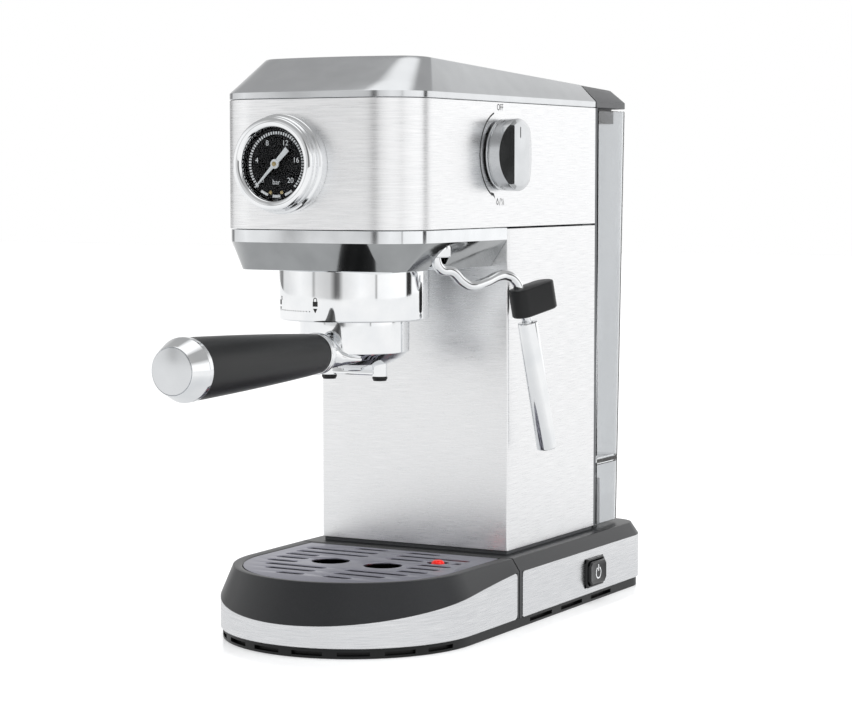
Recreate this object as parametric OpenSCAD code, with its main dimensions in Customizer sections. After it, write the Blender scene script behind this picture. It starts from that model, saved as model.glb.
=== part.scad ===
// Slim pump espresso machine with a lever-locked filter holder, steam wand and lift-out tank.
// Millimetres. +X is the steam side, -Y is the front, Z is 0 on the worktop.

/* [Base] */
// Width of the base
base_w = 145; // [130:1:190]
// Length of the base, front to rear
base_len = 305; // [290:1:370]
// Height of the bottom skirt
skirt_h = 5.4; // [4:0.1:9]
// Top of the steel band on the rear part
band_top = 31.5; // [28:0.5:34]
// Height of the steel band at the very front
band_front = 16.8; // [12:0.2:24]
// Height of the base's top face
base_h = 38.6; // [36:0.2:48]
// Width of the sloped edge on the sides of the base
base_slope = 4.3; // [3:0.1:8]
// Radius of the base's rear corners
rear_r = 20; // [10:1:30]
// Thickness of the sheet steel panels
sheet_t = 0.8; // [0.6:0.1:1.2]
// Wall of the moulded plastic pieces
wall = 2.4; // [2:0.1:3.2]

/* [Column] */
// Width of the column and the head
column_w = 120; // [108:1:140]
// Depth of the column, front to rear
column_d = 113; // [94:0.5:136]
// Height of the column's top seam
column_top = 219.5; // [205:0.5:250]
// Shadow gap under the column
foot_gap = 2.1; // [1.5:0.1:4]

/* [Head] */
// Height of the head's steel band
head_h = 67.8; // [60:0.2:80]
// How far the head stands out in front of the column
head_out = 115; // [105:1:125]
// Radius of the head's front corners
head_r = 28; // [15:1:28]
// Radius of the slight bow of the head's front
bow_r = 516; // [300:1:900]
// Height of the top cover's upright edge
cap_band = 3.9; // [2:0.1:8]
// Height of the top cover over the steel, at the front
cap_front_h = 22.7; // [16:0.1:28]
// Height of the top cover over the steel, at the rear
cap_rear_h = 13.7; // [10:0.1:20]
// How far the top cover leans in at its sides
cap_side_in = 10; // [6:0.5:14]
// How far the top cover leans in at its front
cap_front_in = 28.5; // [20:0.5:44]
// bend radius of the top face's front edge
cap_bow_r = 240; // [150:5:500]
// corner radius of the top face
cap_corner_r = 14; // [8:1:38]
// Height of the lower cover's upright edge
lower_band = 7.2; // [4:0.1:10]
// Full height of the lower cover
lower_h = 21.9; // [18:0.1:26]
// How far the lower cover leans in
lower_in = 10; // [6:0.5:14]
// how far the lower cover's bottom edge sits back from the front
lower_front_in = 8; // [5:0.5:12]
// corner radius of the lower cover's bottom edge
lower_corner_r = 9; // [4:1:16]

/* [Group] */
// Radius of the group collar
collar_r = 40.4; // [38.5:0.1:42]
// Height of the group collar
collar_h = 26.9; // [24:0.1:30]
// Radius of the filter holder's cup
cup_r = 29.7; // [28.5:0.1:30.5]
// Inner radius of the filter basket
basket_r = 25.5; // [24:0.1:26]
// Height of the cup below the collar
cup_h = 16; // [14:0.1:22]
// Length of the handle from the group axis
handle_len = 172; // [150:1:190]
// Radius of the handle's grip at its outer end
handle_r = 16; // [13:0.1:18]
// Radius of the handle's grip at its root
handle_root_r = 10.6; // [9:0.1:12]
// Radius of the tube that joins the two spouts
spout_r = 2.6; // [2.2:0.1:3]
// Distance between the two spout tips
spout_gap = 31.6; // [26:0.1:36]

/* [Steam] */
// Radius of the steam knob
knob_r = 19.6; // [16:0.1:24]
// How far the steam knob stands out
knob_out = 12.5; // [10:0.1:16]
// Radius of the wand's tube
wand_r = 2.8; // [2.4:0.1:3.4]
// Outer radius of the froth sleeve
sleeve_r = 5.6; // [5:0.1:7]
// Length of the froth sleeve
sleeve_len = 78; // [60:1:84]

/* [Gauge] */
// Radius of the gauge's bezel
gauge_r = 24.2; // [20:0.1:28]
// How far the gauge stands out
gauge_out = 14; // [10:0.1:18]
// Place of the gauge, left of the middle
gauge_x = -12.4; // [-24:0.1:24]

/* [Tank] */
// Depth of the tank at its top
tank_d = 42.1; // [30:0.1:44]
// How much the tank's rear leans in towards its foot
tank_lean = 9; // [0:0.1:12]
// Radius of the tank's rear corners
tank_r = 6; // [5:1:16]
// Wall of the tank
tank_wall = 2.2; // [1.8:0.1:3]
// Height of the tank's floor
tank_floor = 77; // [70:1:90]

/* [Controls] */
// Radius of the three round buttons
button_r = 8; // [6:0.1:10]
// Distance between the buttons
button_pitch = 25; // [22:0.5:28]
// Travel of a button
button_travel = 1.6; // [1:0.1:2.5]
// Length of the power button
power_w = 22; // [18:0.5:28]
// Height of the power button
power_h = 13.6; // [10:0.2:16]

/* [Drip tray] */
// Slot pitch of the grid
slot_pitch = 11.25; // [9:0.05:12]
// Width of a slot
slot_w = 5.5; // [3:0.1:5.5]
// Thickness of the grid
grid_t = 1.2; // [0.8:0.1:2]
// Radius of the two big holes of the grid
big_hole_r = 10.5; // [9:0.1:13]

/* [Hidden] */
$fn = 96;
eps = 0.02;
gap = 0.3;                                   // between pieces that stay put
run = 0.5;                                   // around pieces that move
fit = 0.05;                                  // radial play of a shaft in its bush
half = base_w / 2;
rear_y = base_len / 2;
arc_y = -base_len / 2 + half;                // middle of the round front
tray_y = arc_y + 55.1;                       // rear face of the tray, at the seam
column_y = arc_y + 65.5;                     // front of the column
column_rear = column_y + column_d;
column_foot = base_h + foot_gap;
head_z = column_top + 1;
head_top = head_z + head_h;
head_y = column_y - head_out;
group_y = column_y - 65;
collar_z = head_z - lower_h - collar_h;
cup_z = collar_z - cup_h;
bowl_z = cup_z - 9;
plate_top = skirt_h - 0.2;
rim_in = 12;                                 // width of the tray's rim, from the outline to the grid
grid_back = tray_y - 1.4;
row_y = tray_y - 7.5;                        // first row of slots
seam = 1;                                    // open seam between the tray and the rear base
bar_front = 2.1;                             // dark bar between the front band's end and the seam
bar_rear = 3.6;                              // dark bar between the seam and the rear band's end
lip_z = base_h - grid_t - 0.2;
float_x = 38;
float_y = row_y - 2 * slot_pitch;
float_r = 5;
handle_z = (cup_z + collar_z) / 2 - 8.5;
back_t = 3;                                  // wall between the column and the tank
tank_y = column_rear + back_t + 1.6;
tank_top = head_top - 1.2;
tank_foot = base_h + 2;
dock_top = tank_floor - 2;
lid_top = head_top + cap_rear_h;
knob_y = column_y - 10.3;
knob_z = head_z + 39.3;
gauge_z = head_z + 34;
gauge_y = head_y + 0.6;                      // where the gauge's flange meets the head
wand_x = column_w / 2 - 10;
wand_y = group_y;
wand_az = 71.3;                              // the parked wand points to the rear
wand_top = head_z - 10;
power_y = column_rear - 26;
power_z = 17.8;
screw_r = 1.9;
screw_x = half - 14;                         // place of the bottom screws
boss_r = 4;
foot_r = 9;                                  // rubber feet
foot_t = 2.6;
foot_x = half - 22;
foot_y = 95;
gland_r = 6;                                 // cord gland
gland_at = [-40, 18];
frame_w = 1.6;                               // frame round the power button
plate_size = [84, 104];                      // cup plate on the top
plate_y = 70;                                // from the buttons to the middle of the cup plate
plate_r = 8;
panel_size = [2 * (button_pitch + button_r) + 8, 2 * button_r + 8];
panel_r = 11;
dial_in = 4.4;                               // from the bezel's edge to the dial's edge
stem_r = 3;                                  // the steam knob's shaft
pump_at = [-22, column_y + 52];
pump_r = 17;
valve_y = tank_y + tank_wall + 9.5;          // middle of the tank's valve
valve_r = 5;
pin_r = 1;                                   // hinge pin of the tank's lid
pin_y = tank_y + tank_d + 1.2;
pin_z = head_top + 0.8;
slope_a = atan((cap_front_h - cap_rear_h) / (column_rear - head_y - cap_front_in));
button_y = head_y + cap_front_in + 20;
// Middle line of the wand: distance from its swivel, and height below its top.
wand_path = [[0, 0], [0, -6], [3, -11], [12, -13], [19.1, -18.2], [25.7, -20.8],
             [36.2, -19.3], [46.6, -16.1], [52, -15.9], [58.1, -18.4], [62, -23.6], [64.6, -34]];
sleeve_top = [68.4, -41.5];
sleeve_dir = [0.214, -0.977];                // along the sleeve: outwards and down

// ---- shared shapes ----

// Outline of the base, moved in by d: half round in front, rounded corners at the rear.
module base_outline(d = 0) {
  translate([0, arc_y]) circle(half - d, $fn = 160);
  translate([d - half, arc_y]) square([base_w - 2 * d, rear_y - rear_r - arc_y]);
  translate([rear_r - half, arc_y]) square([base_w - 2 * rear_r, rear_y - d - arc_y]);
  for (s = [-1, 1]) translate([s * (half - rear_r), rear_y - rear_r]) circle(rear_r - d);
}

// Part of the base outline in front of (or behind) a line across it.
module front_of(y, d = 0) {
  intersection() { base_outline(d); translate([-half, -rear_y]) square([base_w, rear_y + y]); }
}
module behind(y, d = 0) {
  intersection() { base_outline(d); translate([-half, y]) square([base_w, rear_y - y]); }
}

// Outline of the head, moved in by d, open towards the rear at y1.
module head_outline(d = 0, y1 = column_rear) {
  bowed_plan(column_w / 2, head_y, bow_r, head_r, d, y1);
}

// Plan with upright sides and a bowed front whose rounded corners run smoothly into both.
module bowed_plan(w, y0, bow, r, d, y1) {
  x = w - r;
  y = y0 + bow - sqrt((bow - r) * (bow - r) - x * x);
  intersection() {
    union() {
      translate([d - w, y]) square([2 * (w - d), y1 - y]);
      translate([-x, y0 + d]) square([2 * x, y - y0]);
      for (s = [-1, 1]) translate([s * x, y]) circle(r - d);
    }
    translate([0, y0 + bow]) circle(bow - d, $fn = 360);
  }
}

// Plan of the top face of the top cover, moved in by d.
module top_outline(d = 0) {
  bowed_plan(column_w / 2 - cap_side_in, head_y + cap_front_in, cap_bow_r, cap_corner_r, d, column_rear);
}

// Plan of the lower cover's bottom face, moved in by d.
module lower_outline(d = 0) {
  bowed_plan(column_w / 2 - lower_in - 0.6, head_y + lower_front_in + 0.6, bow_r, lower_corner_r, d,
             column_y - gap - d);
}

// Puts a flat shape on the sloping top of the top cover, up by h.
module on_top(h = 0) {
  translate([0, column_rear, head_top + cap_rear_h + h]) rotate([-slope_a, 0, 0])
    translate([0, -column_rear, 0]) children();
}

// Round bar from p to q.
module bar(p, q, r, r2 = -1) {
  v = q - p;
  l = norm(v);
  translate(p) rotate([0, acos(v[2] / l), atan2(v[1], v[0])])
    cylinder(h = l, r1 = r, r2 = r2 < 0 ? r : r2, $fn = 48);
}

// Point at share t of the smooth curve from points[i] to points[i + 1].
function curve_at(p, i, t) = let (
    n = len(p) - 1, a = p[max(i - 1, 0)], b = p[i], c = p[i + 1], d = p[min(i + 2, n)]
  ) 0.5 * (2 * b + (c - a) * t + (2 * a - 5 * b + 4 * c - d) * t * t + (3 * b - a - 3 * c + d) * t * t * t);
function smooth_path(p, steps) = concat(
    [for (i = [0 : len(p) - 2], k = [0 : steps - 1]) curve_at(p, i, k / steps)], [p[len(p) - 1]]);
function unit(v) = v / norm(v);

// Tube of radius r swept along a smooth curve through the points.
module bent_tube(points, r, side = [0.9, 0.1, 0.4], steps = 3, sides = 12) {
  path = smooth_path(points, steps);
  n = len(path);
  rings = [for (i = [0 : n - 1]) let (
      t = unit(path[min(i + 1, n - 1)] - path[max(i - 1, 0)]),
      u = unit(cross(t, side)), v = cross(t, u)
    ) for (k = [0 : sides - 1]) path[i] + r * (u * cos(k * 360 / sides) + v * sin(k * 360 / sides))];
  walls = [for (i = [0 : n - 2], k = [0 : sides - 1]) let (a = i * sides + k, b = i * sides + (k + 1) % sides)
    for (f = [[a, b + sides, b], [a, a + sides, b + sides]]) f];
  polyhedron(rings, concat(walls, [[for (k = [0 : sides - 1]) k]],
    [[for (k = [0 : sides - 1]) n * sides - 1 - k]]));
}

// A point of the wand's plane, at distance s from the swivel and z under its top.
function wand_at(p) = [wand_x + p[0] * cos(wand_az), wand_y + p[0] * sin(wand_az), wand_top + p[1]];

module rounded_slab(size, r, h) {
  for (a = [0, 1]) translate([a * r - size[0] / 2, (1 - a) * r - size[1] / 2])
    linear_extrude(h) square([size[0] - 2 * a * r, size[1] - 2 * (1 - a) * r]);
  for (x = [-1, 1], y = [-1, 1]) translate([x * (size[0] / 2 - r), y * (size[1] / 2 - r), 0])
    cylinder(h = h, r = r);
}

module slot_hole(x0, x1, y, z, h) {
  translate([x0 + slot_w / 2, y - slot_w / 2, z]) cube([x1 - x0 - slot_w, slot_w, h]);
  for (x = [x0 + slot_w / 2, x1 - slot_w / 2]) translate([x, y, z]) cylinder(h = h, r = slot_w / 2, $fn = 32);
}

// Upright hole or pin along -Y at the gauge.
module gauge_round(r, y0, y1) {
  translate([gauge_x, y0, gauge_z]) rotate([-90, 0, 0]) cylinder(h = y1 - y0, r = r);
}

// ---- base ----

module base_plate() color("#222426") {
  difference() {
    union() {
      translate([0, 0, 0.2]) linear_extrude(plate_top - 0.2) base_outline(1.2);
      base_bosses() cylinder(h = 9, r = boss_r);
    }
    translate([0, 0, -9]) base_bosses() cylinder(h = 20, r = screw_r);
    translate([0, 0, -1]) linear_extrude(2.6) base_outline(1.2 + 6);
    for (x = [-1, 1], y = [-1, 1]) translate([x * foot_x, y * foot_y, -1])
      cylinder(h = foot_t + 1, r = foot_r + gap);
    for (a = [200 : 20 : 340]) translate([half * cos(a), arc_y + half * sin(a), 2.6])
      rotate([0, 0, a]) cube([9, 17, 2.2], center = true);
    for (x = [-1, 1], y = [tray_y + 30 : 40 : rear_y - 40]) translate([x * half, y, 2.6])
      cube([9, 28, 2.2], center = true);
  }
}

// Places of the four bosses that hold the bottom plate to the housing.
module base_bosses() {
  for (x = [-1, 1], y = [tray_y + 12, rear_y - 34]) translate([x * screw_x, y, plate_top - eps]) children();
}

module rubber_feet() color("#151515")
  for (x = [-1, 1], y = [-1, 1]) translate([x * foot_x, y * foot_y, 0]) cylinder(h = foot_t, r = foot_r);

module base_housing() color("#3d3e40") difference() {
  union() {
    translate([0, 0, plate_top + eps]) linear_extrude(band_top - plate_top) behind(tray_y + seam, sheet_t + gap);
    hull() {
      translate([0, 0, band_top]) linear_extrude(0.1) behind(tray_y + seam, 0);
      translate([0, 0, base_h - 0.1]) linear_extrude(0.1) behind(tray_y + seam, base_slope);
    }
    translate([-half, tray_y + seam, plate_top + eps]) cube([base_w, bar_rear - gap, band_top - plate_top]);
  }
  translate([0, 0, plate_top - 1]) linear_extrude(base_h - wall - plate_top + 1) behind(tray_y + seam + wall, 8);
  for (s = [-1, 1]) translate([s * (column_w / 2 - 8), column_rear - 20, base_h - 6]) cylinder(h = 9, r = 2.2);
  translate([-40, column_y + 20, base_h - 6]) cube([80, 40, 9]);
  power_block(half - 12, 20, frame_w + gap);
  translate([gland_at[0], rear_y - 12, gland_at[1]]) rotate([-90, 0, 0]) cylinder(h = 20, r = gland_r + gap);
}

module base_band() color("#d7d8da") difference() {
  translate([0, 0, plate_top + gap]) linear_extrude(band_top - plate_top - 2 * gap)
    difference() { behind(tray_y + seam + bar_rear, 0); behind(tray_y + seam, sheet_t); }
  power_block(half - 12, 20, frame_w + gap);
  translate([gland_at[0], rear_y - 12, gland_at[1]]) rotate([-90, 0, 0]) cylinder(h = 20, r = gland_r + gap);
}

module base_screws() color("#b9bbbd")
  translate([0, 0, 1.7 - plate_top]) base_bosses() cylinder(h = 10, r = screw_r - fit);

module switch_housing() color("#191a1b") difference() {
  power_block(half - 11, 12.6, frame_w);
  power_block(half - 7, 20, gap);
}

// Block round the power button, wider than it by d all round, from x and long deep.
module power_block(x, long, d) {
  translate([x, power_y - power_w / 2 - d, power_z - power_h / 2 - d])
    cube([long, power_w + 2 * d, power_h + 2 * d]);
}

module cord_gland() color("#1c1d1e") translate([gland_at[0], rear_y, gland_at[1]])
  rotate([90, 0, 0]) difference() {
  union() {
    translate([0, 0, -2]) cylinder(h = 12, r = gland_r);
    translate([0, 0, -2]) cylinder(h = 2, r = gland_r + 3);
  }
  translate([0, 0, -3]) cylinder(h = 20, r = 3.6);
}

// ---- column ----

module column_shell() color("#cfd1d3") translate([0, 0, column_foot]) linear_extrude(column_top - column_foot)
  difference() {
    translate([-column_w / 2, column_y]) square([column_w, column_d]);
    translate([sheet_t - column_w / 2, column_y + sheet_t]) square([column_w - 2 * sheet_t, column_d]);
  }

module column_back() color("#55575a") difference() {
  union() {
    translate([-column_w / 2, column_rear, column_foot]) cube([column_w, back_t, head_top - column_foot]);
    translate([wall - column_w / 2 - 1, column_rear - 14, base_h]) cube([8, 14, head_top - base_h - 2]);
    translate([column_w / 2 - 8 - wall + 1, column_rear - 14, base_h]) cube([8, 14, head_top - base_h - 2]);
    translate([-column_w / 2 + 1.2, column_y + 1.2, base_h]) cube([column_w - 2.4, 10, foot_gap + 8]);
    translate([-column_w / 2 + 1.2, column_y + 1.2, base_h]) cube([column_w - 2.4, column_d - 1.2, foot_gap + 1]);
  }
  translate([-40, column_y + 20, base_h - 1]) cube([80, 76, 9]);
  for (x = [-1, 1]) translate([x * 20, column_rear - 1, 150]) rotate([-90, 0, 0]) cylinder(h = 10, r = 2);
}

module tank_dock() color("#8c8e91") difference() {
  union() {
    translate([0, valve_y, base_h + eps])
      rounded_slab([column_w - 2 * tank_wall - 8, 15], 6, dock_top - base_h - 8);
    translate([0, valve_y, dock_top - 9])
      rounded_slab([column_w - 2 * tank_wall - 16, 15], 6, 7);
  }
  translate([0, valve_y, dock_top - 6]) cylinder(h = 10, r = 6 + gap);
  translate([0, valve_y, base_h - 1]) cylinder(h = 60, r = 3);
}

module dock_seal() color("#b5482e") translate([0, valve_y, dock_top - 5.6]) difference() {
  cylinder(h = 3.4, r = 6);
  translate([0, 0, -1]) cylinder(h = 6, r = 3.4);
}

// ---- head ----

module head_band() color("#cfd1d3") difference() {
  translate([0, 0, head_z]) linear_extrude(head_h) difference() {
    head_outline(0);
    head_outline(sheet_t, column_rear + 1);
  }
  gauge_round(gauge_r - 5 + gap, head_y - 5, head_y + 15);
  translate([column_w / 2 - 5, knob_y, knob_z]) rotate([0, 90, 0]) cylinder(h = 10, r = 5 + gap);
}

module head_floor() color("#6d6f72") difference() {
  union() {
    translate([0, 0, head_z + 0.4]) linear_extrude(wall) head_outline(sheet_t + gap, column_rear - 15);
    for (s = [-1, 1]) translate([s * (column_w / 2 - 9) - 4, column_y + 20, head_z + wall])
      cube([8, 12, head_h - wall - 4]);
  }
  translate([0, group_y, head_z - 1]) cylinder(h = 6, r = 31);
  translate([-40, column_y + 36, head_z - 1]) cube([80, 44, 6]);
  translate([wand_x, wand_y, head_z - 1]) cylinder(h = 6, r = 5);
}

module cap_body(d, low, high) {
  hull() {
    translate([0, 0, head_top + low]) linear_extrude(cap_band - low) head_outline(d);
    on_top(high - 0.1) linear_extrude(0.1) top_outline(d * 1.4);
  }
}

module top_cap() color("#b6b8ba") difference() {
  cap_body(0, 0.2, 0);
  difference() {
    cap_body(wall, -1, -wall);
    translate([-column_w / 2, column_rear - wall, head_top - 2]) cube([column_w, 10, 60]);
  }
  translate([0, button_y + plate_y, head_top]) rounded_slab(plate_size, plate_r, 60);
  translate([0, button_y, head_top]) rounded_slab(panel_size, panel_r, 60);
}

module cup_plate() color("#c4c6c8") on_top(-wall) difference() {
  union() {
    translate([0, button_y + plate_y, -0.1]) rounded_slab(plate_size - 2 * [gap, gap], plate_r - gap, 1.9);
    translate([0, button_y + plate_y, -1.4]) rounded_slab(plate_size + [6, 6], plate_r, 1.4 - eps);
  }
  translate([0, button_y + plate_y, -3]) rounded_slab(plate_size - [12, 14], plate_r - 2, 3.4);
  for (i = [-4 : 4]) slot_hole(-30, 30, button_y + plate_y + i * 10, -4, 8);
}

module button_panel() color("#2a2b2d") on_top(-wall) difference() {
  union() {
    translate([0, button_y, -0.1]) rounded_slab(panel_size - 2 * [gap, gap], panel_r - gap, 2.1);
    translate([0, button_y, -3.5]) rounded_slab(panel_size - [4, 5], panel_r - 3, 3.5);
  }
  for (i = [-1 : 1]) {
    translate([i * button_pitch, button_y, -7]) cylinder(h = 12, r = button_r + run);
  }
}

module lower_cap() color("#c9cbcd") difference() {
  union() {
    translate([0, 0, head_z - lower_band]) linear_extrude(lower_band - 0.4) head_outline(0.6, column_y - gap);
    hull() {
      translate([0, 0, head_z - lower_band - 0.1]) linear_extrude(0.1) head_outline(0.6, column_y - gap);
      translate([0, 0, head_z - lower_h]) linear_extrude(0.1) lower_outline();
    }
  }
  hull() {
    translate([0, 0, head_z - 0.3]) linear_extrude(0.1) head_outline(0.6 + wall, column_y - gap - wall);
    translate([0, 0, head_z - lower_h + wall]) linear_extrude(0.1) lower_outline(wall);
  }
  translate([0, group_y, head_z - lower_h - 1]) cylinder(h = 6, r = collar_r - 4);
  translate([wand_x, wand_y, head_z - lower_h - 5]) cylinder(h = 26, r = 8 + gap);
}

module wand_socket() color("#d9dadb") difference() {
  translate([wand_x, wand_y, wand_top - 5]) cylinder(h = 13, r = 8);
  translate([wand_x, wand_y, wand_top - 9]) cylinder(h = 14, r = wand_r + 3 + fit);
}

// ---- brew group ----

module group_collar() color("#d9dadb") {
  translate([0, group_y, 0]) difference() {
    translate([0, 0, collar_z]) cylinder(h = collar_h, r = collar_r);
    translate([0, 0, collar_z + 3]) cylinder(h = collar_h - 7, r = collar_r - 5.5);
    translate([0, 0, collar_z - 1]) cylinder(h = 10, r = cup_r + 1.2);
    translate([0, 0, collar_z + collar_h - 5]) cylinder(h = 10, r = 26);
    for (a = [-45, 135]) rotate([0, 0, a]) translate([0, 0, collar_z - 1])
      intersection() {
        cylinder(h = 10, r = collar_r - 5.5);
        rotate([0, 0, 0]) translate([0, -9, 0]) cube([60, 18, 10]);
      }
  }
}

module boiler() color("#a9abad") translate([0, group_y, 0]) difference() {
  union() {
    translate([0, 0, head_z + 4.5]) cylinder(h = 36, r = 29);
    translate([0, 0, collar_z + collar_h - 3.6]) cylinder(h = 26, r = 25.5);
    translate([0, 0, head_z + 40]) cylinder(h = 5, r = 12);
  }
  translate([0, 0, collar_z + collar_h - 5]) cylinder(h = 15, r = 1.9);
  translate([0, 0, head_z + 6]) cylinder(h = 30, r = 24);
}

module boiler_screws() color("#85878a") translate([0, group_y, head_z + 40.5 + eps])
  for (a = [45 : 90 : 315]) rotate([0, 0, a]) translate([22, 0, 0]) cylinder(h = 4, r = 3.4, $fn = 6);

module group_gasket() color("#3a1f18") translate([0, group_y, collar_z + collar_h - 7]) difference() {
  cylinder(h = 3 - eps, r = 34);
  translate([0, 0, -1]) cylinder(h = 9, r = 27.5);
}

module shower_screen() color("#cccccc") translate([0, group_y, collar_z + collar_h - 6.4]) difference() {
  cylinder(h = 1.2, r = 26);
  translate([0, 0, -1]) cylinder(h = 4, r = 2.6);
  for (ring = [1 : 3], i = [0 : ring * 8 - 1]) rotate([0, 0, i * 360 / (ring * 8)])
    translate([ring * 6.5 + 1, 0, -1]) cylinder(h = 4, r = 0.7, $fn = 16);
}

module screen_screw() color("#bbbbbb") translate([0, group_y, collar_z + collar_h - 8.4]) {
  cylinder(h = 2 - eps, r = 4);
  cylinder(h = 12, r = 1.9 - fit);
}

// ---- inside ----

module pump() color("#3a6ea5") translate([pump_at[0], pump_at[1], 96]) {
  difference() {
    union() {
      cylinder(h = 46, r = pump_r);
      translate([0, 0, -16]) cylinder(h = 16 + eps, r = 9);
      translate([0, 0, 46 - eps]) cylinder(h = 14, r = 6);
    }
    translate([0, 0, -17]) cylinder(h = 8, r = 3);
    translate([0, 0, 54]) cylinder(h = 8, r = 2);
  }
}

module pump_mounts() color("#202020") for (z = [104, 130]) translate([pump_at[0], pump_at[1], z]) difference() {
  translate([-24, -3, 0]) cube([48, 6, 6]);
  translate([0, 0, -1]) cylinder(h = 8, r = pump_r + eps);
}

module suction_hose() color("#d9d4c4") bent_tube([[pump_at[0], pump_at[1], 86.5], [pump_at[0], pump_at[1], 66],
  [-10, column_y + 62, 50], [0, column_rear - 20, 46], [0, column_rear - 8, 46]], 2.4);

module pressure_hose() color("#e4e2dc") bent_tube([[pump_at[0], pump_at[1], 155], [pump_at[0], pump_at[1], 176],
  [-12, column_y + 44, 200], [-6, column_y + 42, 240], [-4, column_y + 20, 264], [-2, column_y - 24, 272],
  [0, group_y + 12, 274], [0, group_y + 1, 270.5], [0, group_y, 266]], 1.9);

module steam_hose() color("#e4e2dc") bent_tube([[14, group_y + 20, 263.3], [20, group_y + 28, 263.2],
  [30, group_y + 36, 260], [38, knob_y - 16, 257], [41, knob_y - 9, 258]], 1.9);

module solenoid_valve() color("#2b2d30") translate([26, column_y + 34, 232]) {
  cylinder(h = 30, r = 11);
  translate([0, 0, -7]) cylinder(h = 7 + eps, r = 6);
  translate([-7, -9, 30 - eps]) cube([14, 18, 5]);
}

module steam_valve() color("#b08d3e") difference() {
  union() {
    translate([column_w / 2 - 24, knob_y, knob_z]) rotate([0, 90, 0]) cylinder(h = 16, r = 8);
    translate([column_w / 2 - 18, knob_y, knob_z - 16]) cylinder(h = 12, r = 4);
  }
  translate([column_w / 2 - 20, knob_y, knob_z]) rotate([0, 90, 0]) cylinder(h = 20, r = stem_r + fit);
}

module thermostats() color("#c8c1a8") for (a = [100, 250]) translate([0, group_y, head_z + 40.5 + eps])
  rotate([0, 0, a]) translate([17.5, 0, 0]) cylinder(h = 7, r = 5);

module control_board() color("#2f7a45") {
  translate([22, column_y + 20, 70]) cube([1.6, 60, 90]);
  for (i = [0 : 3]) translate([23.6 + eps, column_y + 26 + i * 13, 80 + i * 14]) cube([9, 10, 11]);
}

// ---- gauge ----

module gauge_case() color("#dddddd") difference() {
  union() {
    gauge_round(gauge_r, gauge_y - gauge_out, gauge_y - 3);
    gauge_round(gauge_r + 1.8, gauge_y - 7, gauge_y - 0.6);
    gauge_round(gauge_r - 5, gauge_y - 4, gauge_y + 12);
  }
  gauge_round(gauge_r - dial_in, gauge_y - gauge_out - 1, gauge_y - gauge_out + 7);
  gauge_round(2, gauge_y - gauge_out - 1, gauge_y + 6);
}

module gauge_dial() color("#0c0c0e") difference() {
  gauge_round(gauge_r - dial_in - gap, gauge_y - gauge_out + 5.4, gauge_y - gauge_out + 6.4);
  gauge_round(1.2, gauge_y - gauge_out, gauge_y + 6);
}

module gauge_lens() color([0.9, 0.95, 1, 0.3])
  gauge_round(gauge_r - dial_in - gap, gauge_y - gauge_out + 1.2, gauge_y - gauge_out + 2.2);

module gauge_needle() color("white") {
  gauge_round(1.2 - fit, gauge_y - gauge_out + 4, gauge_y - gauge_out + 12);
  gauge_round(2.4, gauge_y - gauge_out + 3.2, gauge_y - gauge_out + 4.4);
  translate([gauge_x, gauge_y - gauge_out + 3.4, gauge_z]) rotate([0, 135, 0])
    translate([-0.7, 0, -8]) cube([1.4, 0.6, 25]);
}

// ---- steam knob ----

module knob_bush() color("#2b2b2b") difference() {
  translate([column_w / 2 - 7.8, knob_y, knob_z]) rotate([0, 90, 0]) cylinder(h = 8.4, r = 5);
  translate([column_w / 2 - 9, knob_y, knob_z]) rotate([0, 90, 0]) cylinder(h = 20, r = stem_r + fit);
}

module steam_knob() color("#c2c4c6") translate([column_w / 2 + 1, knob_y, knob_z]) rotate([0, 90, 0]) {
  cylinder(h = 2.6, r = knob_r);
  translate([-knob_r + 0.6, -8.5, 2]) cube([2 * knob_r - 1.2, 17, knob_out - 3]);
  translate([0, 0, -18]) cylinder(h = 19, r = stem_r);
}

// ---- filter holder ----

module holder_cup() color("#d9dadb") translate([0, group_y, 0]) difference() {
  union() {
    translate([0, 0, cup_z]) cylinder(h = collar_z + 9.5 - cup_z, r = cup_r);
    intersection() {
      translate([0, 0, collar_z + 3.5]) cylinder(h = 4, r = collar_r - 6.2);
      translate([-60, -7, 0]) cube([120, 14, 300]);
    }
    translate([0, 0, bowl_z]) cylinder(h = cup_z - bowl_z + eps, r1 = 19, r2 = cup_r - 1.5);
    translate([0, -cup_r + 4, handle_z]) rotate([90, 0, 0]) cylinder(h = 7, r1 = 10, r2 = 9.4);
  }
  translate([0, 0, cup_z]) cylinder(h = 60, r = cup_r - 2.2);
  translate([0, 0, bowl_z + 2]) cylinder(h = cup_z - bowl_z, r1 = 16, r2 = cup_r - 2.4);
  translate([0, 0, bowl_z - 1]) cylinder(h = 5, r = 3);
}

module filter_basket() color("#cfd0d1") translate([0, group_y, 0]) difference() {
  union() {
    translate([0, 0, cup_z + 1]) cylinder(h = collar_z + 9.6 - cup_z, r = basket_r + 0.7);
    translate([0, 0, collar_z + 9.5 + eps]) cylinder(h = 1.2, r = cup_r);
  }
  translate([0, 0, cup_z + 1.8]) cylinder(h = 60, r = basket_r);
  for (ring = [1 : 3], i = [0 : ring * 8 - 1]) rotate([0, 0, i * 360 / (ring * 8)])
    translate([ring * 6, 0, cup_z]) cylinder(h = 4, r = 0.6, $fn = 16);
}

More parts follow.
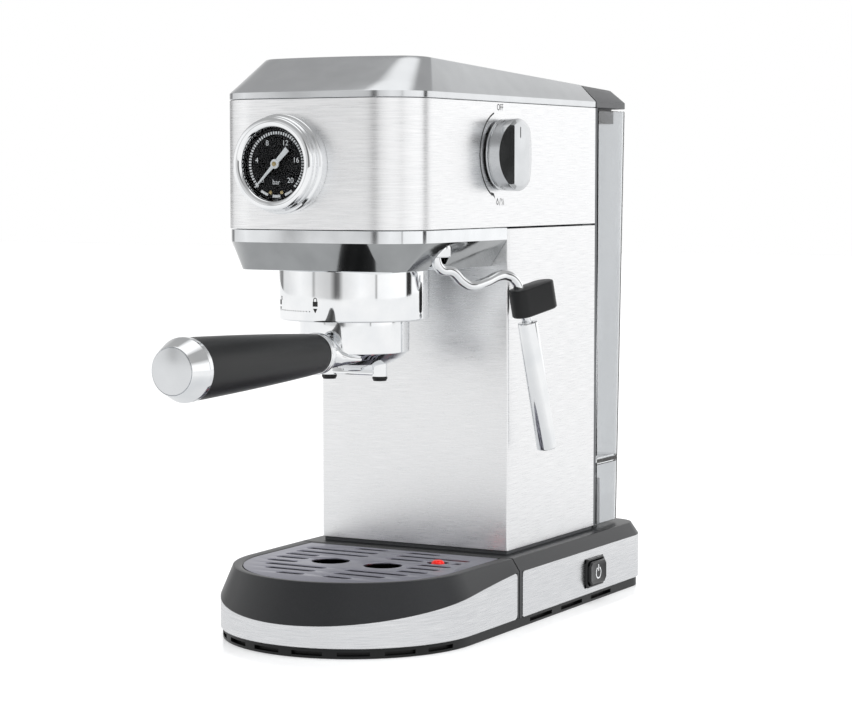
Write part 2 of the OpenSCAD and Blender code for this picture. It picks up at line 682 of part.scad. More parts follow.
module spout() color("#cccdcf") translate([0, group_y, bowl_z - spout_r]) difference() {
  union() {
    translate([0, 0, 0.6]) cylinder(h = spout_r - 0.6 - eps, r = 8);
    translate([-spout_gap / 2, 0, 0]) rotate([0, 90, 0]) cylinder(h = spout_gap, r = spout_r);
    for (s = [-1, 1]) translate([s * spout_gap / 2, 0, -3.4]) cylinder(h = 3.4, r = 3.2);
    for (s = [-1, 1]) translate([s * spout_gap / 2, 0, 0]) sphere(spout_r);
  }
  translate([-spout_gap / 2, 0, 0]) rotate([0, 90, 0]) cylinder(h = spout_gap, r = 1.8);
  cylinder(h = 6, r = 2.4);
  for (s = [-1, 1]) translate([s * spout_gap / 2, 0, -6]) cylinder(h = 6, r = 2);
}

module spout_tips() color("#141414") for (s = [-1, 1])
  translate([s * spout_gap / 2, group_y, bowl_z - spout_r - 5.4 - eps]) difference() {
    cylinder(h = 2, r = 3.35);
    translate([0, 0, -1]) cylinder(h = 8, r = 2);
  }

// Round piece on the handle's axis, from a to b away from the group.
module on_handle(a, b, r1, r2) {
  translate([0, group_y - a, handle_z]) rotate([90, 0, 0]) cylinder(h = b - a, r1 = r1, r2 = r2);
}

module handle_neck() color("#d9dadb") difference() {
  union() {
    on_handle(cup_r + 3 + eps, cup_r + 6, 8.6, 8.6);
    on_handle(cup_r + 6 - eps, cup_r + 9, 10.4, 11);
    on_handle(cup_r + 9 - eps, cup_r + 12, 11, handle_root_r);
    on_handle(cup_r + 12 - eps, handle_len - 22, 4, 4);
  }
}

module handle_grip() color("#2a2b2c") difference() {
  on_handle(cup_r + 12, handle_len - 13, handle_root_r, handle_r - 0.3);
  on_handle(cup_r + 11, handle_len - 21, 4, 4);
}

module handle_cap() color("#d9dadb") {
  on_handle(handle_len - 13, handle_len - 9, handle_r - 0.3, handle_r);
  on_handle(handle_len - 9 - eps, handle_len - 3.5, handle_r, handle_r);
  on_handle(handle_len - 3.5 - eps, handle_len, handle_r, handle_r - 3.4);
}

// ---- steam wand ----

// The bent part of the wand, at radius r, down to the sleeve.
module wand_bend(r) {
  bent_tube([for (p = concat(wand_path, [sleeve_top])) wand_at(p)], r,
    [-sin(wand_az), cos(wand_az), 0], 3, 16);
}

module wand_tube() color("#d9dadb") {
  wand_bend(wand_r);
  bar(wand_at([0, 4]), wand_at([0, -4]), wand_r + 3);
  bar(wand_at(sleeve_top - 0.6 * sleeve_dir), wand_at(sleeve_top + 60 * sleeve_dir), wand_r);
}

module wand_grip() color("#232425") difference() {
  translate(wand_at([62.8, -31.5])) rotate([0, 0, wand_az]) rotate([0, -12.4, 0])
    translate([8, 0, 0]) rotate([90, 0, 0]) translate([0, 0, -7]) rounded_slab([34, 17], 2.5, 14);
  wand_bend(wand_r + 0.1);
  bar(wand_at(sleeve_top - 2 * sleeve_dir), wand_at(sleeve_top + 12 * sleeve_dir), sleeve_r + run);
}

module froth_sleeve() color("#d9dadb") difference() {
  bar(wand_at(sleeve_top + 0.5 * sleeve_dir), wand_at(sleeve_top + (sleeve_len - 2) * sleeve_dir), sleeve_r);
  bar(wand_at(sleeve_top - 2 * sleeve_dir), wand_at(sleeve_top + 62 * sleeve_dir), wand_r + 0.06);
  bar(wand_at(sleeve_top + 61 * sleeve_dir), wand_at(sleeve_top + 90 * sleeve_dir), 4);
}

// ---- buttons ----

module push_button(i) {
  on_top(-wall) translate([i * button_pitch, button_y, -5]) cylinder(h = 5 + 3.2, r = button_r);
}
module button_one() color("#d0d1d3") push_button(-1);
module button_two() color("#d0d1d3") push_button(0);
module button_steam() color("#d0d1d3") push_button(1);

module power_button() color("#1b1c1d") difference() {
  translate([half - 4, power_y - power_w / 2, power_z - power_h / 2]) cube([7.4, power_w, power_h]);
  for (y = [-1, 1], z = [-1, 1]) translate([half, power_y + y * power_w / 2, power_z + z * power_h / 2])
    rotate([45, 0, 0]) cube([20, 3, 3], center = true);
}

// ---- drip tray ----

module drip_tray() color("#2f3032") difference() {
  union() {
    translate([0, 0, plate_top + gap]) linear_extrude(band_top - plate_top - gap + eps)
      front_of(tray_y, sheet_t + gap);
    hull() {
      translate([0, 0, band_top]) linear_extrude(0.1) front_of(tray_y, 0);
      translate([0, 0, base_h - 0.1]) linear_extrude(0.1) front_of(tray_y, base_slope);
    }
    intersection() {
      translate([0, 0, band_front]) linear_extrude(band_top - band_front + eps) front_of(tray_y, 0);
      tray_wedge(gap);
    }
    translate([-half, tray_y - bar_front + gap, plate_top + gap])
      cube([base_w, bar_front - gap, band_top - plate_top]);
  }
  translate([0, 0, plate_top + gap + wall]) linear_extrude(60) front_of(grid_back - wall, rim_in + 2.5);
  translate([0, 0, lip_z]) linear_extrude(60) front_of(grid_back, rim_in);
}

// Space above the sloping top edge of the steel band.
module tray_wedge(up) {
  a = atan((band_top - band_front) / (half + tray_y - bar_front - arc_y));
  translate([-half - 1, -rear_y, band_front + up]) rotate([a, 0, 0]) cube([base_w + 2, 200, 60]);
}

module tray_band() color("#d7d8da") difference() {
  translate([0, 0, plate_top + gap]) linear_extrude(band_top - plate_top - 2 * gap) difference() {
    front_of(tray_y - bar_front, 0);
    front_of(tray_y, sheet_t);
  }
  tray_wedge(0);
}

module drip_grid() color("#a8a8b0") difference() {
  translate([0, 0, lip_z]) linear_extrude(grid_t) front_of(grid_back - gap, rim_in + gap);
  for (s = [-1, 1]) {
    translate([s * 16.4, arc_y + 2.5, 0]) cylinder(h = 60, r = big_hole_r);
    slot_row(s, 6, 27, 0);
    slot_row(s, 6, 52, 1);
    for (k = [3 : 5]) slot_row(s, 31, 52 - (k - 3), k);
    slot_row(s, 6, 44, 6);
    slot_row(s, 6, 37, 7);
    slot_row(s, 6, 23, 8);
  }
  slot_row(-1, 6, 52, 2);
  slot_row(1, 6, 29, 2);
  slot_row(1, 46.6, 52, 2);
  translate([float_x, float_y, 0]) cylinder(h = 60, r = float_r + 1);
}

module slot_row(s, x0, x1, k) {
  y = row_y - k * slot_pitch;
  if (s > 0) slot_hole(x0, x1, y, 0, 60);
  else slot_hole(-x1, -x0, y, 0, 60);
}

module tray_float() color("#d21f1f") translate([float_x, float_y, 0]) difference() {
  union() {
    translate([0, 0, lip_z - 18]) cylinder(h = 18.6, r = float_r);
    translate([0, 0, lip_z - 18]) cylinder(h = 9, r = 9);
    intersection() {
      translate([0, 0, lip_z - 2.2]) sphere(float_r + 0.3);
      translate([0, 0, lip_z]) cylinder(h = 9, r = float_r);
    }
  }
  translate([0, 0, lip_z - 19]) cylinder(h = 12, r = 3);
}

// ---- tank ----

module tank_plan(d, y1) intersection() {
  translate([-column_w, tank_y + d]) square([2 * column_w, 2 * tank_d]);
  tank_rounded(d, y1);
}

module tank_rounded(d, y1) {
  x = column_w / 2 - d;
  r = tank_r - d;
  translate([-x, tank_y + d]) square([2 * x, y1 - tank_y - tank_r - d]);
  translate([-x + r, tank_y + d]) square([2 * (x - r), y1 - tank_y - 2 * d]);
  for (s = [-1, 1]) translate([s * (x - r), y1 - tank_r]) circle(r, $fn = 32);
}

module tank_form(d, z0, z1) {
  y_at = tank_lean / (tank_top - tank_foot);
  hull() {
    translate([0, 0, z0]) linear_extrude(0.05) tank_plan(d, tank_y + tank_d - y_at * (tank_top - z0));
    translate([0, 0, z1 - 0.05]) linear_extrude(0.05) tank_plan(d, tank_y + tank_d - y_at * (tank_top - z1));
  }
}

module water_tank() color([0.75, 0.78, 0.8, 0.5]) difference() {
  tank_form(0, tank_foot, tank_top);
  tank_form(tank_wall, tank_floor + tank_wall, tank_top + 5);
  tank_form(tank_wall, tank_foot - 5, tank_floor);
  translate([0, valve_y, tank_floor - 2]) cylinder(h = 9, r = valve_r + eps);
}

module tank_valve() color("#e6e6e6") translate([0, valve_y, 0]) difference() {
  union() {
    translate([0, 0, tank_floor + tank_wall + eps]) cylinder(h = 5, r = 7.5);
    translate([0, 0, tank_floor - 3.8]) cylinder(h = 3.8 + tank_wall + 1, r = valve_r);
  }
  translate([0, 0, tank_floor - 6]) cylinder(h = 20, r = 2.6);
}

module tank_lid() color("#6a6b6d") {
  lid_shell();
  translate([-30, pin_y, pin_z]) rotate([0, 90, 0]) cylinder(h = 60, r = pin_r);
}

module lid_shell() difference() {
  hull() {
    translate([0, 0, head_top + 0.2]) linear_extrude(cap_band) tank_plan(-0.2, tank_y + tank_d + 0.2);
    translate([-column_w / 2 + cap_side_in, tank_y - 0.2, lid_top - 2])
      cube([column_w - 2 * cap_side_in, tank_d - 6, 0.6]);
    translate([-column_w / 2 + cap_side_in, tank_y - 0.2, lid_top - 0.2 - 0.1])
      cube([column_w - 2 * cap_side_in, 2, 0.1]);
  }
  hull() {
    translate([0, 0, head_top - 1]) linear_extrude(cap_band) tank_plan(wall, tank_y + tank_d);
    translate([-column_w / 2 + cap_side_in + wall, tank_y + wall, lid_top - 2 - wall])
      cube([column_w - 2 * cap_side_in - 2 * wall, tank_d - 6 - 2 * wall, 0.1]);
  }
}

base_plate();
rubber_feet();
base_housing();
base_band();
base_screws();
switch_housing();
cord_gland();
column_shell();
column_back();
tank_dock();
dock_seal();
head_band();
head_floor();
top_cap();
cup_plate();
button_panel();
lower_cap();
group_collar();
boiler();
boiler_screws();
group_gasket();
shower_screen();
screen_screw();
pump();
pump_mounts();
suction_hose();
pressure_hose();
steam_hose();
solenoid_valve();
steam_valve();
thermostats();
control_board();
gauge_case();
gauge_dial();
gauge_lens();
gauge_needle();
wand_socket();
knob_bush();
holder_cup();
filter_basket();
spout();
spout_tips();
handle_neck();
handle_grip();
handle_cap();
wand_tube();
wand_grip();
froth_sleeve();
steam_knob();
button_one();
button_two();
button_steam();
power_button();
drip_tray();
tray_band();
drip_grid();
tray_float();
water_tank();
tank_valve();
tank_lid();
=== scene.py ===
# Slim espresso machine: every visible piece is modelled here around the CAD frame.
# Sizes in the dictionaries are millimetres; meshes are stored in metres.
import math
import bmesh
import bpy
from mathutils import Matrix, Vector


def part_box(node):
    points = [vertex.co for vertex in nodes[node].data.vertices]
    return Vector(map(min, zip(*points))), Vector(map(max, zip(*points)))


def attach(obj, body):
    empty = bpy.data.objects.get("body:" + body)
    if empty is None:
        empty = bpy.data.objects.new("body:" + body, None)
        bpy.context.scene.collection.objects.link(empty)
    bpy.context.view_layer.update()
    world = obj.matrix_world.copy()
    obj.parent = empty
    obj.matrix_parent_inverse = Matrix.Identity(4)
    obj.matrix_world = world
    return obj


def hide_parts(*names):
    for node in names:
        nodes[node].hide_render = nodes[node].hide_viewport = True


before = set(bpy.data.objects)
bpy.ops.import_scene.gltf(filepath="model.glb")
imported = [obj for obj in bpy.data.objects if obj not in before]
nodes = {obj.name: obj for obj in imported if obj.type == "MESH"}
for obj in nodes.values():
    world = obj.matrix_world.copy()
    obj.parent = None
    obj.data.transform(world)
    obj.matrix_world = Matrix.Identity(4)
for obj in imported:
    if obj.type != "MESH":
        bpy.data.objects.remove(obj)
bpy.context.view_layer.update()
mm = 0.001
print("frame loaded:", len(nodes), "CAD nodes")


def spanOf(node):
    # lowest and highest corner of a CAD node, in millimetres
    low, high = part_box(node)
    return [v / mm for v in low], [v / mm for v in high]


trayLow, trayHigh = spanOf("drip_tray")
housingHigh = spanOf("base_housing")[1]
columnLow, columnHigh = spanOf("column_shell")
headLow, headHigh = spanOf("head_band")
collarLow, collarHigh = spanOf("group_collar")
half = trayHigh[0]
frontY = trayLow[1]
arcY = frontY + half  # middle of the round front
seamY = trayHigh[1]  # where the tray ends
rearY = housingHigh[1]
baseTop = housingHigh[2]
columnHalf = columnHigh[0]
columnRear = columnHigh[1]
groupY = (collarLow[1] + collarHigh[1]) / 2
printLift = 0.02  # printed signs stand this far off their surface

# ---- camera, floor and light ----

# place in metres, angles in degrees, lens in millimetres
cameraView = {"place": (0.6568, -1.1940, 0.2477), "tilt": 85.6, "turn": 28.8, "lens": 101.49}


def makeCamera():
    data = bpy.data.cameras.new("camera")
    data.lens = cameraView["lens"]
    data.sensor_width = 36
    data.clip_end = 50
    camera = bpy.data.objects.new("camera", data)
    camera.location = cameraView["place"]
    camera.rotation_euler = (math.radians(cameraView["tilt"]), 0, math.radians(cameraView["turn"]))
    bpy.context.scene.collection.objects.link(camera)
    bpy.context.scene.camera = camera


makeCamera()


def hexColour(code):
    parts = [int(code[i:i + 2], 16) / 255 for i in (1, 3, 5)]
    return [c / 12.92 if c <= 0.04045 else ((c + 0.055) / 1.055) ** 2.4 for c in parts] + [1]


def addNode(tree, kind, inputs=None, stops=None, **settings):
    node = tree.nodes.new(kind)
    for key, value in settings.items():
        setattr(node, key, value)
    for key, value in (inputs or {}).items():
        if isinstance(value, bpy.types.NodeSocket):
            tree.links.new(value, node.inputs[key])
        else:
            node.inputs[key].default_value = value
    if stops:
        ramp = node.color_ramp
        while len(ramp.elements) < len(stops):
            ramp.elements.new(0.5)
        for element, (place, colour) in zip(ramp.elements, stops):
            element.position = place
            element.color = hexColour(colour) if isinstance(colour, str) else [colour] * 3 + [1]
    return node


# The studio as the polished parts see it: pale walls with narrow dark gaps, and a grey ceiling
# with a light over it. Walls are (angle round the machine in degrees, brightness).
studio = {
    "strength": 1.0,
    "ceiling": 0.46,
    "zenith": 1.25,
    # table tone and near and far (metres) set the floor's painted reflection: greyer near the machine, white
    # far off
    "table": "#e4e5e6", "near": 0.25, "far": 0.6,
    "walls": [(-180, 0.9), (-150, 1.1), (-128, 0.95), (-124, 0.42), (-120.5, 0.82), (-97, 0.68),
              (-88, 0.13), (-83, 0.2), (-76, 0.85), (-50, 1.15), (-28, 1.0), (-26, 0.25), (-23.5, 1.1),
              (10, 1.25), (26, 1.25), (28.5, 0.04), (37, 0.04), (40, 1.15), (75, 1.25), (120, 0.95),
              (150, 0.3), (158, 0.25), (165, 0.85), (180, 0.9)],
}


def makeWorld():
    world = bpy.data.worlds.new("studio")
    bpy.context.scene.world = world
    world.use_nodes = True
    tree = world.node_tree
    tree.nodes.clear()
    direction = addNode(tree, "ShaderNodeTexCoord").outputs["Generated"]
    axes = addNode(tree, "ShaderNodeSeparateXYZ", {0: direction})
    angle = addNode(tree, "ShaderNodeMath", {0: axes.outputs["Y"], 1: axes.outputs["X"]},
                    operation="ARCTAN2")
    share = addNode(tree, "ShaderNodeMapRange",
                    {"Value": angle.outputs[0], "From Min": -math.pi, "From Max": math.pi})
    walls = addNode(tree, "ShaderNodeValToRGB", {"Fac": share.outputs[0]},
                    stops=[((a + 180) / 360, v) for a, v in studio["walls"]])
    height = addNode(tree, "ShaderNodeMapRange",
                     {"Value": axes.outputs["Z"], "From Min": 0.3, "From Max": 0.5})
    dome = addNode(tree, "ShaderNodeMix", {0: height.outputs[0], 6: walls.outputs[0],
                                            7: [studio["ceiling"]] * 3 + [1]}, data_type="RGBA")
    over = addNode(tree, "ShaderNodeMapRange",
                   {"Value": axes.outputs["Z"], "From Min": 0.84, "From Max": 0.92})
    lit = addNode(tree, "ShaderNodeMix", {0: over.outputs[0], 6: dome.outputs[2],
                                           7: [studio["zenith"]] * 3 + [1]}, data_type="RGBA")
    seen = addNode(tree, "ShaderNodeLightPath").outputs["Is Camera Ray"]
    shown = addNode(tree, "ShaderNodeMix", {0: seen, 6: lit.outputs[2], 7: [1, 1, 1, 1]}, data_type="RGBA")
    light = addNode(tree, "ShaderNodeBackground",
                    {"Color": shown.outputs[2], "Strength": studio["strength"]})
    addNode(tree, "ShaderNodeOutputWorld", {"Surface": light.outputs[0]})


makeWorld()


def addLamp(name, place, aim, size, power):
    data = bpy.data.lights.new(name, "AREA")
    data.shape = "DISK"
    data.size = size
    data.energy = power
    lamp = bpy.data.objects.new(name, data)
    lamp.location = place
    lamp.rotation_euler = (Vector(aim) - Vector(place)).to_track_quat("-Z", "Y").to_euler()
    lamp.visible_glossy = False
    bpy.context.scene.collection.objects.link(lamp)


# place and aim in metres, width in metres, power in watts
addLamp("overhead", (0.1, -0.2, 1.7), (0, 0, 0), 1.5, 16)
addLamp("side", (1.6, 0.3, 0.9), (0, 0, 0.15), 0.9, 9)
bpy.context.scene.view_settings.view_transform = "Standard"

# ---- materials ----


def newMaterial(name, **sockets):
    material = bpy.data.materials.new(name)
    material.use_nodes = True
    tree = material.node_tree
    tree.nodes.clear()
    shader = addNode(tree, "ShaderNodeBsdfPrincipled", sockets)
    addNode(tree, "ShaderNodeOutputMaterial", {"Surface": shader.outputs[0]})
    return material, tree, shader


def grained(tree, size, stretch=(1, 1, 1), detail=2.0):
    # noise whose grain is size mm, drawn out by stretch along each axis
    place = addNode(tree, "ShaderNodeTexCoord").outputs["Object"]
    scale = [1 / (size * mm * s) for s in stretch]
    mapped = addNode(tree, "ShaderNodeMapping", {"Vector": place, "Scale": scale})
    noise = addNode(tree, "ShaderNodeTexNoise",
                    {"Vector": mapped.outputs[0], "Scale": 1.0, "Detail": detail})
    return noise.outputs["Fac"]


def finished(tree, shader, grain, tones, rough, bump=0.0, depth=0.02):
    # tones and roughness both follow the same grain, as on a real worked surface
    colour = addNode(tree, "ShaderNodeValToRGB", {"Fac": grain}, stops=[(0.3, tones[0]), (0.7, tones[1])])
    gloss = addNode(tree, "ShaderNodeMapRange", {"Value": grain, "From Min": 0.3, "From Max": 0.7,
                                                  "To Min": rough[0], "To Max": rough[1]})
    tree.links.new(colour.outputs[0], shader.inputs["Base Color"])
    tree.links.new(gloss.outputs[0], shader.inputs["Roughness"])
    if bump:
        relief = addNode(tree, "ShaderNodeBump",
                         {"Height": grain, "Strength": bump, "Distance": depth * mm})
        tree.links.new(relief.outputs[0], shader.inputs["Normal"])


def brushedSteel(name, tones, rough, along=(50, 50, 1), bump=0.12):
    # sheet steel rubbed with a belt: fine lines along one direction, drawn 0.3 mm apart so that they show
    material, tree, shader = newMaterial(name, Metallic=1.0)
    finished(tree, shader, grained(tree, 0.3, along, 3.0), tones, rough, bump, 0.012)
    return material


def polishedMetal(name, tones, rough):
    # plated and buffed: a mirror with the faintest wipe marks
    material, tree, shader = newMaterial(name, Metallic=1.0)
    finished(tree, shader, grained(tree, 14, (1, 1, 1), 3.0), tones, rough)
    return material


def mouldedPlastic(name, tones, rough, grain=0.5, bump=0.12, ior=1.5):
    # injection moulded, with the tool's fine spark texture, drawn coarser than its real 0.05 mm
    material, tree, shader = newMaterial(name, IOR=ior)
    finished(tree, shader, grained(tree, grain), tones, rough, bump, 0.03)
    return material


def clearPlastic(name, colour, rough, ior, through):
    # moulded clear resin: light passes and bends, with faint flow marks
    material, tree, shader = newMaterial(name, IOR=ior, Alpha=through)
    shader.inputs["Transmission Weight"].default_value = 1.0
    finished(tree, shader, grained(tree, 30, (1, 1, 3)), colour, rough)
    return material


steel = brushedSteel("brushed_steel", ("#e2e3e4", "#f8f8f9"), (0.25, 0.34))
bandSteel = brushedSteel("brushed_band_steel", ("#dcdddf", "#f4f4f5"), (0.2, 0.3))
topSteel = brushedSteel("brushed_plate_steel", ("#b9babb", "#e4e5e6"), (0.25, 0.38), (1, 60, 60))
satinCap = polishedMetal("satin_anodised_aluminium", ("#d2d4d6", "#d8dadc"), (0.14, 0.17))
chrome = polishedMetal("chrome_plate", ("#e6e8ea", "#f0f1f2"), (0.035, 0.07))
chromePlastic = polishedMetal("chrome_on_abs", ("#dcdee0", "#e6e8ea"), (0.05, 0.08))
# a darker copy of chrome for faces given painted shade: the knob's left cut facet and the lower cover's
# downward chamfer
paintedShadeChrome = polishedMetal("chrome_with_painted_shade", ("#9c9e9f", "#a6a8a9"), (0.07, 0.1))
knobMetal = polishedMetal("satin_chrome", ("#c6c8ca", "#d2d4d6"), (0.12, 0.17))
gridSteel = brushedSteel("satin_grid_steel", ("#a2a2ae", "#b4b4c0"), (0.3, 0.42), (40, 1, 1), 0.1)
darkRim = mouldedPlastic("dark_abs", ("#222325", "#2a2b2d"), (0.3, 0.38), 0.5, 0.08, 1.42)
# near-black for the inside of the tray's well: painted shade under the grid, on the same moulding as the dark
# rim
wellPaintedShade = mouldedPlastic("tray_well_painted_shade", ("#040404", "#080808"), (0.5, 0.6), 0.6, 0.1, 1.3)
blackPlastic = mouldedPlastic("black_abs", ("#0a0b0c", "#111213"), (0.35, 0.5), 0.5, 0.12, 1.4)
softBlack = mouldedPlastic("soft_touch_coating", ("#0f1011", "#161718"), (0.34, 0.44), 0.35, 0.12, 1.38)
glossBlack = mouldedPlastic("gloss_black_abs", ("#0b0c0d", "#121314"), (0.16, 0.24), 2.0, 0.02, 1.45)
lidGrey = mouldedPlastic("grey_abs", ("#3c3d3f", "#464749"), (0.3, 0.4), 0.5, 0.1)
wallGrey = mouldedPlastic("grey_wall_abs", ("#97999c", "#a2a4a7"), (0.4, 0.5), 0.8)
innerGrey = mouldedPlastic("inner_grey_pp", ("#4c4e51", "#57595c"), (0.45, 0.6), 0.8)
rubber = mouldedPlastic("nitrile_rubber", ("#101010", "#191919"), (0.6, 0.75), 0.4, 0.25, 1.52)
silicone = mouldedPlastic("silicone_rubber", ("#d8d4c8", "#e6e2d8"), (0.4, 0.55), 0.9, 0.08, 1.41)
sealRed = mouldedPlastic("red_silicone", ("#96371f", "#a8442a"), (0.45, 0.6), 0.8, 0.1, 1.41)
cast = mouldedPlastic("cast_aluminium", ("#8d8f91", "#a5a7a9"), (0.45, 0.6), 0.9, 0.5)
brass = polishedMetal("turned_brass", ("#a8966e", "#b8a67e"), (0.25, 0.35))
zincSteel = polishedMetal("zinc_plated_steel", ("#a9abad", "#c2c4c6"), (0.25, 0.38))
pumpBlue = mouldedPlastic("blue_pa66", ("#2f5d92", "#3b6da6"), (0.4, 0.5), 0.7)
boardGreen = mouldedPlastic("green_fr4", ("#1f6a35", "#2c7d43"), (0.35, 0.5), 1.5, 0.05)
dialBlack = mouldedPlastic("satin_black_enamel", ("#060608", "#0c0c0f"), (0.5, 0.6), 1.2, 0.03, 1.25)
printWhite = mouldedPlastic("white_print", ("#e4e6e8", "#f2f3f4"), (0.5, 0.6), 0.4, 0.05)
printBlack = mouldedPlastic("black_print", ("#131313", "#1c1c1c"), (0.5, 0.6), 0.4, 0.05)
floatRed = mouldedPlastic("red_pp_painted_glow", ("#f01810", "#ff2a1c"), (0.2, 0.3), 1.0, 0.04)
# the float is given a faint emission: painted light, so it glows brighter red than lit plastic would
floatShader = floatRed.node_tree.nodes["Principled BSDF"]
floatShader.inputs["Emission Color"].default_value = hexColour("#ff2015")
floatShader.inputs["Emission Strength"].default_value = 0.15
tankClear = clearPlastic("smoky_tritan", ("#d6d8da", "#dddfe1"), (0.02, 0.05), 1.35, 1.0)
lensClear = clearPlastic("coated_glass", ("#f8fafb", "#ffffff"), (0.0, 0.01), 1.12, 1.0)


def studioFloor():
    # a pale glazed table that glows evenly white; glossy rays see a painted reflection instead, a greyer table
    # that is darker near the machine
    material, tree, shader = newMaterial("white_glazed_table", IOR=1.3)
    finished(tree, shader, grained(tree, 60), ("#f0f1f2", "#f4f5f6"), (0.1, 0.14))
    shader.inputs["Emission Color"].default_value = [1, 1, 1, 1]
    shader.inputs["Emission Strength"].default_value = 0.34
    place = addNode(tree, "ShaderNodeTexCoord").outputs["Object"]
    away = addNode(tree, "ShaderNodeVectorMath", {0: place}, operation="LENGTH")
    near = addNode(tree, "ShaderNodeMapRange", {"Value": away.outputs["Value"], "From Min": studio["near"],
                                                 "From Max": studio["far"]})
    # painted reflection: the tone polished parts see of the table, greyer near the machine
    tone = addNode(tree, "ShaderNodeMix", {0: near.outputs[0], 6: hexColour(studio["table"]),
                                            7: [1, 1, 1, 1]}, data_type="RGBA")
    dull = addNode(tree, "ShaderNodeEmission", {"Color": tone.outputs[2], "Strength": 1.05})
    seen = addNode(tree, "ShaderNodeLightPath").outputs["Is Glossy Ray"]
    both = addNode(tree, "ShaderNodeMixShader", {0: seen, 1: shader.outputs[0], 2: dull.outputs[0]})
    out = next(n for n in tree.nodes if n.type == "OUTPUT_MATERIAL")
    tree.links.new(both.outputs[0], out.inputs["Surface"])
    return material


floorWhite = studioFloor()
print("materials made:", len(bpy.data.materials))


def makeFloor():
    reach = 6.0
    mesh = bpy.data.meshes.new("floor")
    mesh.from_pydata([(-reach, -reach, 0), (reach, -reach, 0), (reach, reach, 0), (-reach, reach, 0)],
                     [], [(0, 1, 2, 3)])
    mesh.materials.append(floorWhite)
    floor = bpy.data.objects.new("floor", mesh)
    bpy.context.scene.collection.objects.link(floor)


makeFloor()

# ---- shapes: each is (points, faces), in millimetres ----


def loft(rings, capStart=True, capEnd=True):
    count = len(rings[0])
    points = [tuple(p) for ring in rings for p in ring]
    faces = [(i * count + k, i * count + (k + 1) % count,
              (i + 1) * count + (k + 1) % count, (i + 1) * count + k)
             for i in range(len(rings) - 1) for k in range(count)]
    if capStart:
        faces.append(tuple(reversed(range(count))))
    if capEnd:
        faces.append(tuple(range((len(rings) - 1) * count, len(rings) * count)))
    return points, faces


def joined(*shapes):
    points, faces = [], []
    for some, more in shapes:
        start = len(points)
        points += some
        faces += [tuple(k + start for k in face) for face in more]
    return points, faces


def placed(shape, move):
    return [tuple(move(Vector(p))) for p in shape[0]], shape[1]


def softened(line, radius=0.4, steps=4):
    # rounds each inner corner of an open line; a third number is that corner's own radius
    out = [tuple(line[0][:2])]
    for before, here, after in zip(line, line[1:], line[2:]):
        corner = Vector(here[:2])
        a, b = Vector(before[:2]) - corner, Vector(after[:2]) - corner
        reach = min(here[2] if len(here) > 2 else radius, a.length * 0.48, b.length * 0.48)
        start, end = corner + a.normalized() * reach, corner + b.normalized() * reach
        for k in range(steps + 1):
            t = k / steps
            out.append(tuple(start * (1 - t) ** 2 + corner * 2 * t * (1 - t) + end * t * t))
    return out + [tuple(line[-1][:2])]


def lathe(profile, at, axis, steps=96, ring=False):
    # turns (radius, distance along the axis) points round an axis; ring closes the profile on itself
    along = Vector(axis).normalized()
    side = Vector((0, 0, 1)) if abs(along.z) < 0.9 else Vector((1, 0, 0))
    u = side.cross(along).normalized()
    v = along.cross(u)
    turns = [2 * math.pi * k / steps for k in range(steps)]
    rings = [[Vector(at) + (u * math.cos(a) + v * math.sin(a)) * r + along * h for a in turns]
             for r, h in profile]
    if ring:
        return loft(rings + [rings[0]], False, False)
    return loft(rings, profile[0][0] > 0, profile[-1][0] > 0)


def arc(centre, radius, start, end, count):
    angles = [math.radians(start + (end - start) * k / count) for k in range(count + 1)]
    return [(centre[0] + radius * math.cos(a), centre[1] + radius * math.sin(a)) for a in angles]


def roundedBox(width, depth, radius, count=8):
    corners = [(1, 1, 0), (-1, 1, 90), (-1, -1, 180), (1, -1, 270)]
    return [p for x, y, a in corners
            for p in arc((x * (width / 2 - radius), y * (depth / 2 - radius)), radius, a, a + 90, count)]


def prism(outline, low, high, edge=0.3):
    # upright block on a convex outline, with its top and bottom edges broken
    cx = sum(p[0] for p in outline) / len(outline)
    cy = sum(p[1] for p in outline) / len(outline)
    size = max(abs(p[0] - cx) for p in outline)
    deep = max(abs(p[1] - cy) for p in outline)

    def ring(inset, z):
        return [(cx + (x - cx) * (1 - inset / size), cy + (y - cy) * (1 - inset / deep), z)
                for x, y in outline]
    return loft([ring(edge, low), ring(0, low + edge), ring(0, high - edge),
                 ring(edge * 0.3, high - edge * 0.3), ring(edge, high)])


def meshOf(thing):
    # the evaluated object as plain points and faces; the helper object is removed
    bpy.context.view_layer.update()
    mesh = bpy.data.meshes.new_from_object(thing.evaluated_get(bpy.context.evaluated_depsgraph_get()))
    shape = [tuple(v.co) for v in mesh.vertices], [tuple(f.vertices) for f in mesh.polygons]
    bpy.data.meshes.remove(mesh)
    bpy.data.objects.remove(thing)
    return shape


def cutSheet(loops, thick, edge=0.0):
    # flat sheet in the XY plane, from closed outlines; the inner ones become holes
    curve = bpy.data.curves.new("sheet", "CURVE")
    curve.dimensions = "2D"
    curve.fill_mode = "BOTH"
    curve.extrude = thick / 2 - edge
    curve.bevel_depth = edge
    curve.bevel_resolution = 1
    curve.offset = -edge
    for loop in loops:
        spline = curve.splines.new("POLY")
        spline.points.add(len(loop) - 1)
        for point, (x, y) in zip(spline.points, loop):
            point.co = (x, y, 0, 1)
        spline.use_cyclic_u = True
    thing = bpy.data.objects.new("sheet", curve)
    bpy.context.scene.collection.objects.link(thing)
    return meshOf(thing)


def lettering(text, size, thick=0.06):
    font = bpy.data.curves.new("letters", "FONT")
    font.body = text
    font.size = size
    font.extrude = thick / 2
    font.align_x = "CENTER"
    font.align_y = "CENTER"
    thing = bpy.data.objects.new("letters", font)
    bpy.context.scene.collection.objects.link(thing)
    return meshOf(thing)


